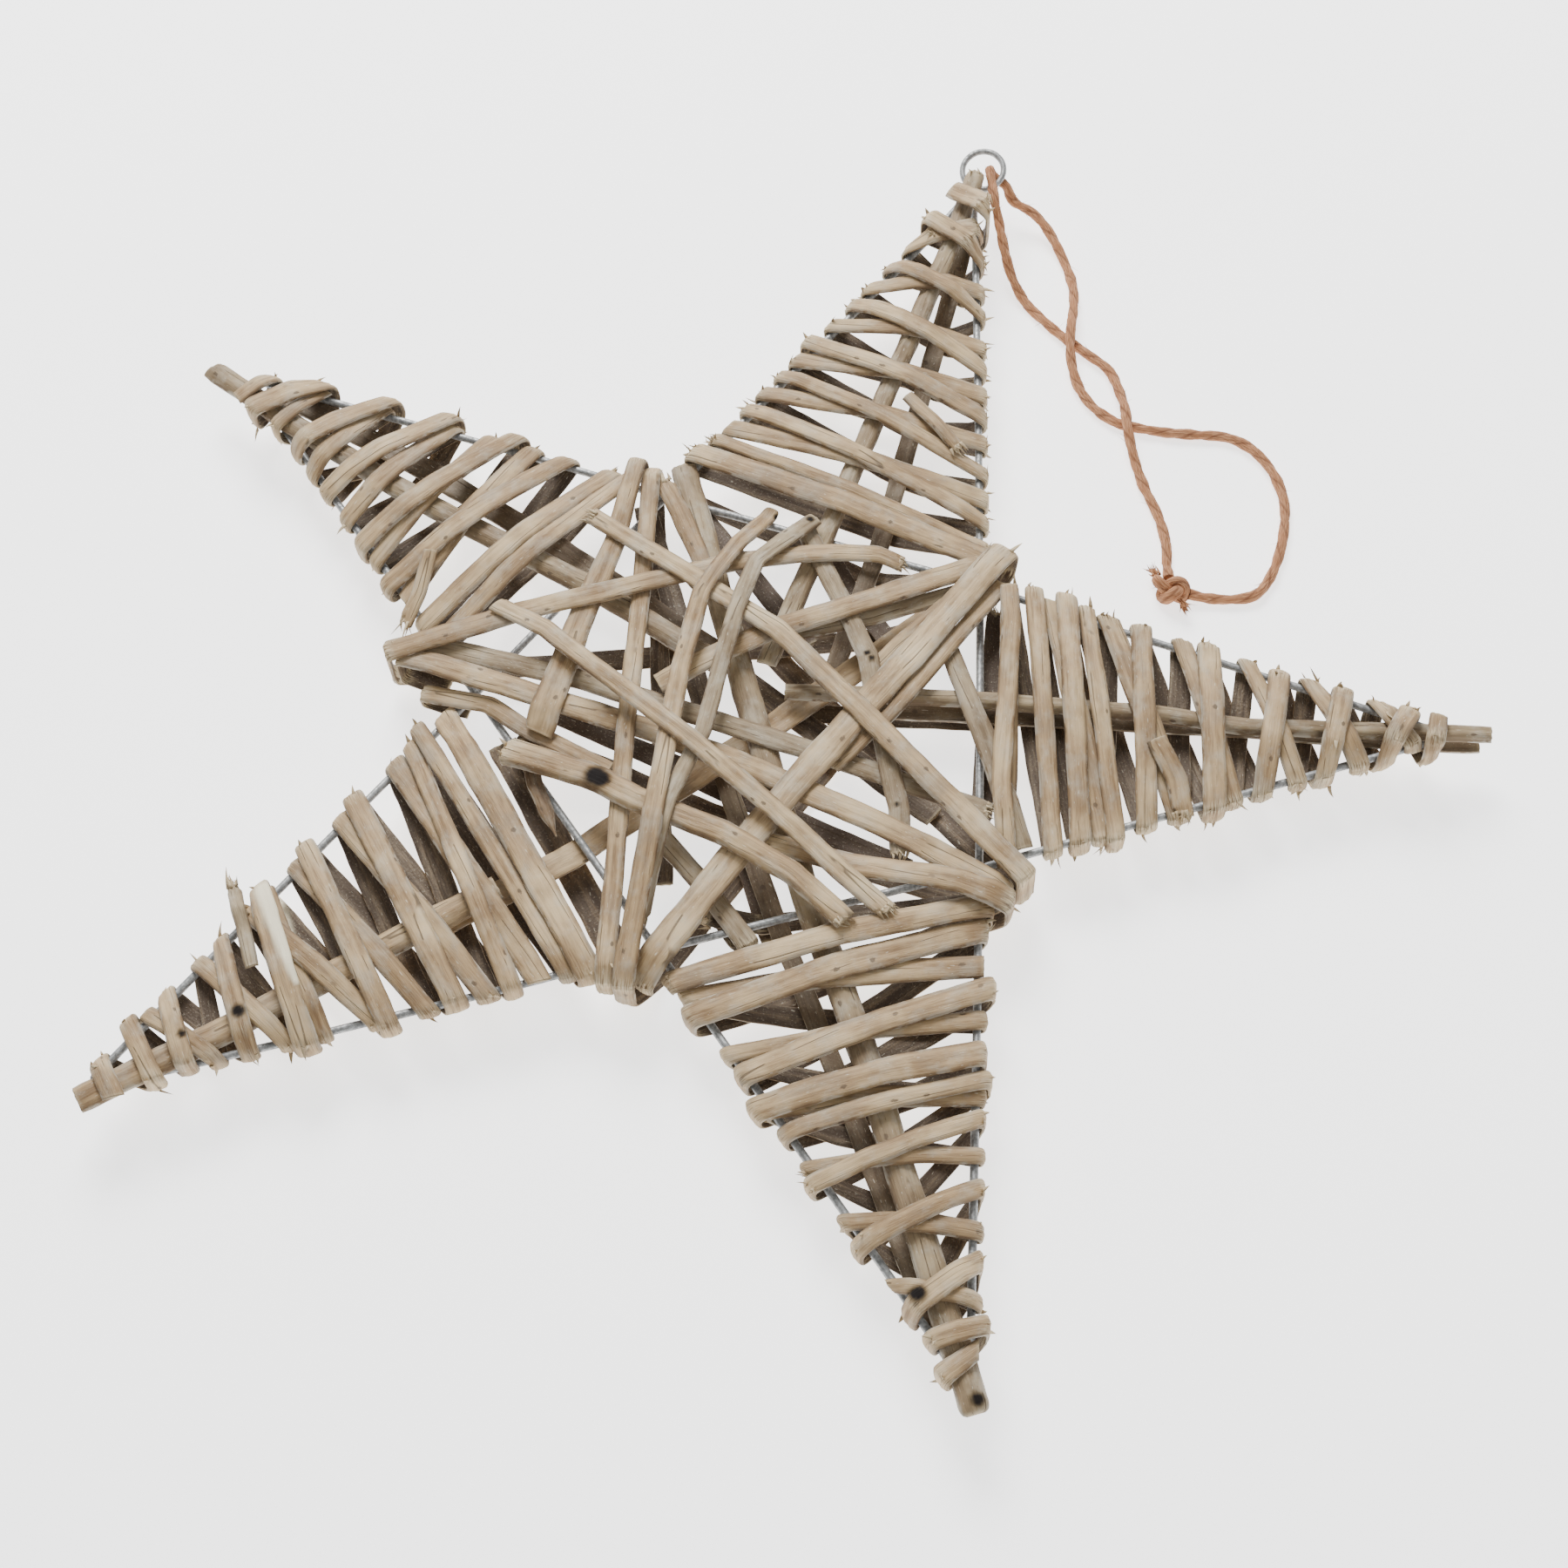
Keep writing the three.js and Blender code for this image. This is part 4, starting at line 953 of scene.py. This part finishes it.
class Centre:
    """The strips crossed over the middle of the star, in the order in which they lie, back ones first."""

    # Columns: name, finish, start x and y in millimetres, ends, tone. The tone is partly random and partly
    # painted shade, lower for strips lying further back.
    strips = (
        ("back_strip_right", "brown", 59, 62, "FF", 0.4),
        ("back_strip_lower_right", "grey", 86, -32, "FF", 0.4),
        ("back_strip_middle", "tan", -8, 15, "CC", 0.55),
        ("back_strip_low", "brown", -54, -16, "CC", 0.5),
        ("back_strip_rising", "grey", 4, 7, "CC", 0.3),
        ("back_strip_top", "brown", -5, 71, "CC", 0.5),
        ("back_strip_top_left", "brown", -50, 72, "CC", 0.4),
        ("back_strip_left", "grey", -56, 60, "CC", 0.3),
        ("back_strip_lower_middle", "brown", 9, -30, "CC", 0.4),
        ("edge_strip_lower_left", "brown", -56, -30, "CP", 0.7),
        ("edge_strip_bottom", "grey", -12, -44, "CC", 0.5),
        ("cross_strip_low", "grey", -90, -11, "CF", 0.6),
        ("fan_strip_right_inner", "grey", 51, 63, "CC", 0.6),
        ("fan_strip_right_short", "tan", 48, 58, "CC", 0.6),
        ("cracked_strip", "grey", -7, 68, "FF", 0.75),
        ("edge_strip_right_short", "grey", 50, 40, "CC", 0.5),
        ("fan_strip_left_low", "tan", -91, -26, "CC", 0.6),
        ("long_strip_right", "tan", 51, 70, "CC", 0.8),
        ("cross_strip_middle", "tan", -93, -18, "CC", 0.8),
        ("fan_strip_left_short", "tan", -52, 67, "FF", 0.6),
        ("long_strip_left", "tan", -57, 71, "CC", 0.85),
        ("upright_strip_left", "tan", -61, 68, "CS", 0.8),
        ("rising_strip_left", "tan", -95, -11, "CF", 0.85),
        ("fan_strip_right_outer", "tan", 59, 66, "CC", 0.7),
        ("edge_strip_right", "tan", 61, 65, "CC", 0.75),
        ("edge_strip_lower_right", "tan", 91, -35, "CF", 0.8),
        ("wide_strip_right", "pale", 56, 77, "CC", 0.9),
        ("thick_rod_end", "tan", -59, -37, "RF", 0.75),
        ("long_strip_top", "pale", -66, 44, "FC", 0.9),
        ("upright_strip_right", "grey", -2, 68, "CF", 0.8),
        ("kinked_strip", "tan", -17, 71, "RC", 0.85),
        ("slanting_strip_top", "pale", -81, 5, "SF", 0.9),
    )
    marks = {
        "cracked_strip": ((-6, 68, 3.4), (29.4, 27.6, 0.9), (31.2, 26.4, 0.9), (54.6, -17.2, 0.8)),
        "thick_rod_end": ((-29.0, -39.6, 3.3), (-27.2, -40.2, 3.0)),
        "upright_strip_right": ((-3, 66.5, 1.2),),
        "kinked_strip": ((-14.6, 68.2, 1.1),),
    }
    rod = {"spacing": 0.7, "columns": 30, "slot": "willow_rod"}

    def build(self) -> None:
        """Makes each strip."""
        for name, finish, x, y, ends, tone_and_shade in self.strips:
            more = self.rod if name == "thick_rod_end" else {}
            Strip(name, finish, (x, y), ends, tone_and_shade, marks=self.marks.get(name, ()), **more).build()


@dataclass
class WireWork:
    """The bent wire of the star and the small ring in its hook, in millimetres."""

    wire_radius: float = 1.15
    ring_middle_radius: float = 6.9
    ring_radius: float = 1.0
    parted: float = 2.45
    hook_reach: float = 2.6
    bend_radius: float = 2.2
    tip_span: float = 400.0
    tip_offsets: Plan = ((0.4, 3.7), (3.5, -1.1), (-4.1, -2.5), (3.2, 3.5), (-3, -3.5))
    bows: tuple[float, ...] = (1, -0.5, 3, 2.3, 3)
    golden: float = (math.sqrt(5) - 1) / 2
    weave: float = 1.3

    def tips(self) -> Array:
        """The five tips: a regular star's tips moved by their offsets, anticlockwise from the ring."""
        radius = self.tip_span / (2 * math.sin(math.radians(72)))
        angle = np.radians(90 + 72 * np.arange(5))
        return radius * np.stack([np.cos(angle), np.sin(angle)], 1) + np.array(self.tip_offsets)

    def wire_at(self, index: int, share: Array) -> Array:
        """Points of the wire from one tip to the next but one.

        The plan is a straight line bowed by a half sine. The height is a bump up at the first crossing
        and down at the second, plus the parting at the ring, which fades out from 5 to 25 mm.

        Args:
            index: The tip that the wire starts from.
            share: Shares of its length.

        Returns:
            Points in the star frame, in millimetres.
        """
        tips = self.tips()
        start, stop = tips[index], tips[(index + 2) % 5]
        along = stop - start
        length = float(np.linalg.norm(along))
        outward = (start + stop) / np.linalg.norm(start + stop)
        plan = start + share[:, None] * along + self.bows[index] * np.sin(math.pi * share)[:, None] * outward
        first, second = (np.exp(-(((share - at) / 0.06) ** 2)) for at in (1 - self.golden, self.golden))
        height = self.weave * (first - second)
        if index == 0:
            height = height + self.parted * np.clip(1 - (share * length - 5) / 20, 0, 1)
        if (index + 2) % 5 == 0:
            height = height - self.parted * np.clip(1 - ((1 - share) * length - 5) / 20, 0, 1)
        return np.column_stack([plan, height])

    def tip_bend(self, tip: int) -> Array:
        """The bend at a tip: an arc of the bend radius, or at the ring a hook that stands on edge."""
        tips = self.tips()
        share = np.array([150 / self.tip_span, 1 - 150 / self.tip_span])
        left = self.wire_at(tip, share)[0, :2]
        right = self.wire_at((tip + 3) % 5, share)[1, :2]
        inward = unit((left + right) / 2 - tips[tip])
        sideways = np.array([-inward[1], inward[0]])
        if tip == 0:
            angle = np.radians([-90, -60, -30, 0, 30, 60, 90])[:, None]
            place = (tips[0] - self.hook_reach * inward - self.parted * np.cos(angle) * inward
                     - 0.3 * self.wire_radius * np.sin(angle) * sideways)
            return np.column_stack([place, self.parted * np.sin(angle)])
        angle = np.radians([-36, 0, 36])[:, None]
        centre = tips[tip] + inward * self.bend_radius / math.sin(math.radians(18))
        place = centre - self.bend_radius * (np.cos(angle) * inward + np.sin(angle) * sideways)
        return np.column_stack([place, np.zeros(3)])

    def build(self) -> None:
        """Makes the wire as a round tube through its bends, and the ring as a torus."""
        inner = [0.08, 0.2, 0.3, 1 - self.golden, 0.44, 0.56, self.golden, 0.7, 0.8, 0.92]
        parts = []
        for k in range(5):
            wire = (2 * k) % 5
            length = float(np.linalg.norm(self.tips()[(wire + 2) % 5] - self.tips()[wire]))
            bend = self.bend_radius / math.tan(math.radians(18)) / length
            parts.append(self.wire_at(wire, np.array([bend, *inner, 1 - bend])))
            parts.append(self.tip_bend((wire + 2) % 5))
        path = curve_through(np.vstack(parts), 10, looped=True)
        wire = self.tube((path + SHIFT) * MM, self.wire_radius * MM, 14)
        Finishes.wear(wire.build("star_wire"), "zinc", "galvanised_wire", "wire_frame")
        turn = np.linspace(0, 2 * math.pi, 72, endpoint=False)
        leaning = [np.cos(turn), np.sin(turn) * math.cos(RING_LEAN), np.sin(turn) * math.sin(RING_LEAN)]
        circle = np.stack(leaning, 1) * self.ring_middle_radius
        ring = self.tube((circle + RING_CENTRE + SHIFT) * MM, self.ring_radius * MM, 18)
        Finishes.wear(ring.build("ring_for_twine"), "zinc", "galvanised_wire", "hanging_ring")

    @staticmethod
    def tube(path: Array, radius: float, sides: int) -> Skin:
        """A round tube round a closed path: the path plus the radius turned round its direction."""
        _, side, up = frames_along(path, looped=True)
        angle = np.linspace(0, 2 * math.pi, sides, endpoint=False)
        wobble = 1 + 0.02 * wander(length_along(path) / MM, 60, seed_of("wire"))[:, None, None]
        points = path[:, None] + radius * wobble * spokes(side, up, angle)
        return Skin(points, length_along(path), np.linspace(0, 2 * math.pi * radius, sides + 1), looped=True)


@dataclass
class TwineLoop:
    """The twine drawn through the ring, and the knot that joins its ends, in millimetres.

    `through_eye` is the way round the ring's wire, as shares of the eye's radius and of `passing`, which
    is how far above and below the ring the strands pass.
    """

    radius: float = 1.65
    pitch: float = 9.0
    strand_over: Plan = (
        (11.4, 206.7), (16.1, 198.9), (21.4, 191.4), (28.3, 185.5), (37.2, 179.6), (45.9, 174.9),
        (53.8, 171.5), (62.5, 167.2), (68.4, 159.2), (72.6, 151.3), (75.6, 144.2), (81.1, 134.5),
        (86.6, 126.4), (93.9, 117.2), (99.2, 107.9), (101.7, 100.4))
    strand_under: Plan = (
        (12.6, 220), (20.1, 219), (27.1, 214.8), (35.5, 205.8), (41.3, 196.3), (44.4, 186.4), (46.3, 177.3),
        (49.4, 167.3), (54.7, 158.2), (62.1, 151.4), (70.4, 148), (76.5, 147.9), (86.5, 149.1),
        (96.2, 151.4), (105.9, 153.6), (114.3, 151.8), (122.1, 146.2), (128.2, 138), (131.4, 129.3),
        (133.2, 117.4), (132.9, 106.3), (130.3, 98.6), (123.9, 94.6), (116.6, 92.6))
    through_eye: Spots = (
        (1.95, -2.9, 1), (1.4, -1.75, 1.1), (0.95, -0.85, 1.05), (0.66, -0.2, 0.72), (0.6, 0.1, 0),
        (0.8, 0.2, -0.72), (1.3, 0.1, -1.05), (2.2, -0.26, -1.1))
    knot_place: tuple[float, float] = (105.5, 90.5)
    knot_size: tuple[float, float, float] = (12.0, 9.0, 7.5)
    passing: float = 2.95
    eye: float = 3.95
    gap: float = 0.3

    def knot(self) -> Array:
        """Middle of the knot in the star frame."""
        return np.array([*self.knot_place, -SHIFT[2] + self.knot_size[2] / 2])

    def strand(self, plan: Plan, start: float, crossing: tuple[float, float]) -> Array:
        """One strand from the ring to the knot: it sinks to the floor and humps over the other strand.

        The height falls evenly from the start over four points, and a bell of one twine's height and a
        little more is added at the crossing.

        Args:
            plan: Its points in plan.
            start: Its height at the ring.
            crossing: Where it passes over the other strand.

        Returns:
            Points in the star frame.
        """
        place = np.array(plan, float)
        share = np.minimum(1, (np.arange(len(place)) + 1) / 4)
        height = start + share * (self.radius - SHIFT[2] - start)
        apart = np.linalg.norm(place - np.array(crossing), axis=1)
        height = height + (2 * self.radius + self.gap) * np.exp(-((apart / (8 * self.radius)) ** 2))
        strand = np.column_stack([place, height])
        outward = unit(strand[-1] - self.knot())
        reach = 0.5 / np.linalg.norm(outward / np.array(self.knot_size))
        return np.vstack([strand, self.knot() + outward * (reach + self.gap)])

    def route(self) -> Array:
        """The whole centreline in the row frame, in metres."""
        over = self.strand(self.strand_over, self.passing, (74.2, 147.8))[::-1]
        under = self.strand(self.strand_under, -self.passing, (46.5, 174.8))
        turn = np.array(self.through_eye) * np.array([self.eye, self.eye, self.passing])
        leaning = np.maximum(0, RING_CENTRE[2] + turn[:, 1] * math.tan(RING_LEAN))
        turn = turn + np.column_stack([np.full((len(turn), 2), RING_CENTRE[:2]), leaning])
        points = np.vstack([over, turn, under])
        return (curve_through(points, 12) + SHIFT) * MM

    def twisted(self, path: Array, name: str, radius: float) -> Piece:
        """Two plies twisted round each other along a path.

        The radius at an angle is 0.84 plus 0.20 times the cosine's size, turned once in two pitches, and
        varies slowly as hand-spun twine does. Where the twine lies on the floor, its underside is flat.

        Args:
            path: The centreline in metres.
            name: The object's name.
            radius: The radius in metres.

        Returns:
            The piece.
        """
        rng = seed_of(name)
        where = length_along(path)
        where_mm = where / MM
        _, side, up = frames_along(path)
        angle = np.linspace(0, 2 * math.pi, 22, endpoint=False)
        spin = 2 * math.pi * where / (2 * self.pitch * MM) + 0.5 * wander(where_mm, 45, rng)
        turn = angle[None] - spin[:, None]
        lobes = np.abs(np.cos(turn))
        lumps = 0.09 * wander(where_mm, 21, rng) + 0.04 * wander(where_mm, 6, rng)
        reach = radius * (0.84 + 0.2 * lobes ** 0.8) * (0.98 + lumps[:, None] + 0.02 * np.sin(9 * turn))
        count = int(where[-1] / (2.2 * MM))
        row, column = rng.integers(1, len(path) - 1, count), rng.integers(0, len(angle), count)
        hairs = np.column_stack([rng.gamma(2.2, 0.7, count) + 0.6, rng.uniform(0.08, 0.2, count),
                                 rng.uniform(0.06, 0.12, count)])
        points = path[:, None] + reach[..., None] * spokes(side, up, angle)
        points[..., 2] = np.maximum(points[..., 2], FLOOR_GAP)
        out = points[row, column] - path[row]
        lie = unit(out) * 0.5 + unit(path[row + 1] - path[row - 1])
        ahead = lie + rng.normal(0, 0.2, (count, 3))
        HAIRS.add(points[row, column] - 0.15 * out, ahead, np.cross(lie, out), hairs)
        # Painted shade for the grooves between the plies, where the lobes are low.
        values = {"ply_groove_shade": smooth(1 - lobes * 2.6)}
        return Skin(points, where, np.linspace(0, 2 * math.pi * radius, 23), values).build(name)

    def knot_path(self) -> Array:
        """The knot's own twine: a three-lobed knot flattened to the knot's size, in metres."""
        t = np.linspace(0, 2 * math.pi, 121)
        shape = np.stack([np.sin(t) + 2 * np.sin(2 * t), np.cos(t) - 2 * np.cos(2 * t), -np.sin(3 * t)], 1)
        size = np.array(self.knot_size) / 2 - self.radius * 0.9
        shape = shape / np.abs(shape).max(0) * size
        return (shape[:-1] + self.knot() + SHIFT) * MM

    def tails(self) -> None:
        """Adds the frayed ends of the twine that stand out of the knot at two corners."""
        rng = seed_of("tails")
        count = 26
        for x, y in ((-5.2, 3.4), (4.4, -3.8)):
            corner = (self.knot() + SHIFT + np.array([x, y, 0.4])) * MM
            away = np.array([x, y, 0.0]) / math.hypot(x, y)
            side = np.array([-away[1], away[0], 0.0]) + rng.normal(0, 0.4, (count, 3))
            base = corner + rng.normal(0, 0.5, (count, 3)) * MM
            sizes = np.column_stack([rng.uniform(2.2, 4.4, count), rng.uniform(0.35, 0.9, count),
                                     rng.uniform(0.25, 0.5, count)])
            HAIRS.add(base, away + rng.normal(0, 0.2, (count, 3)), side, sizes)

    def build(self) -> None:
        path = self.route()
        loop = self.twisted(path, "twine_for_hanging", self.radius * MM)
        knot = self.twisted(self.knot_path(), "knot_of_twine", 1.12 * self.radius * MM)
        self.tails()
        hairs = HAIRS.build("fibres_of_twine")
        for piece, node in ((loop, "twine_loop"), (knot, "twine_knot"), (hairs, None)):
            Finishes.wear(piece, "twine", "twine", node)
        length = float(length_along(path)[-1])


@dataclass
class Studio:
    """The camera of the photograph, a plain floor and soft lights."""

    place: tuple[float, float, float] = (160.6, -323.9, 607.9)
    lens: float = 54.94

    def camera(self) -> None:
        """Sets the camera where the photograph was taken from."""
        data = bpy.data.cameras.new("camera")
        data.lens = self.lens
        data.sensor_width = 36
        data.clip_start = 0.01
        camera = bpy.data.objects.new("camera", data)
        axes = Matrix((
            (0.93455, -0.29285, 0.20213), (0.35380, 0.82531, -0.44009), (-0.03794, 0.48280, 0.87491)))
        camera.matrix_world = Matrix.Translation((np.array(self.place) + SHIFT) * MM) @ axes.to_4x4()
        bpy.context.scene.collection.objects.link(camera)
        bpy.context.scene.camera = camera

    def floor(self) -> None:
        """A wide pale floor under the star."""
        mesh = bpy.data.meshes.new("floor")
        mesh.from_pydata([(-4, -4, 0), (4, -4, 0), (4, 4, 0), (-4, 4, 0)], [], [(0, 1, 2, 3)])
        floor = bpy.data.objects.new("floor", mesh)
        bpy.context.scene.collection.objects.link(floor)
        n = Nodes("pale_floor")
        place = n.add("ShaderNodeTexCoord").outputs["Object"]
        mottle = n.noise(place, 6.0, 6.0, 2.0, 6.0)
        colour = n.mix(mottle, linear(246, 246, 246), linear(250, 250, 250))
        mesh.materials.append(n.surface(Base_Color=colour, Roughness=0.9, Emission_Color=(1, 1, 1, 1),
                                        Emission_Strength=2.0))

    def light(self, name: str, place: tuple[float, float, float], size: float, power: float) -> None:
        """One soft square light that faces the star.

        Args:
            name: Its name.
            place: Where it hangs, in metres.
            size: Its side in metres.
            power: Its power in watts.
        """
        data = bpy.data.lights.new(name, "AREA")
        data.size = size
        data.energy = power
        lamp = bpy.data.objects.new(name, data)
        away = unit(np.array(place))
        side = unit(np.cross([0.0, 1.0, 0.0], away))
        axes = np.column_stack([side, np.cross(away, side), away])
        lamp.matrix_world = Matrix.Translation(place) @ Matrix(axes.tolist()).to_4x4()
        bpy.context.scene.collection.objects.link(lamp)

    def build(self) -> None:
        """Lights the floor evenly from above, a little stronger from the upper left."""
        self.floor()
        self.light("key", (-0.65, 1.05, 1.15), 0.8, 50)
        self.light("fill", (0.9, -0.6, 1.4), 1.6, 7)
        world = bpy.data.worlds.new("sky")
        world.use_nodes = True
        sky = world.node_tree.nodes["Background"]
        sky.inputs[0].default_value = (1, 1, 1, 1)
        sky.inputs[1].default_value = 0.38
        bpy.context.scene.world = world


def main() -> None:
    """Builds the star in order."""
    studio = Studio()
    studio.camera()
    TwineLoop().build()
    WireWork().build()
    Arms().build()
    Centre().build()
    Finishes.wear(SPLINTERS.build("willow_splinters"), "pale", "willow_strip")
    studio.build()
    bpy.context.view_layer.update()


if __name__ == "__main__":
    logging.basicConfig(level=logging.INFO, format="%(message)s")
    main()
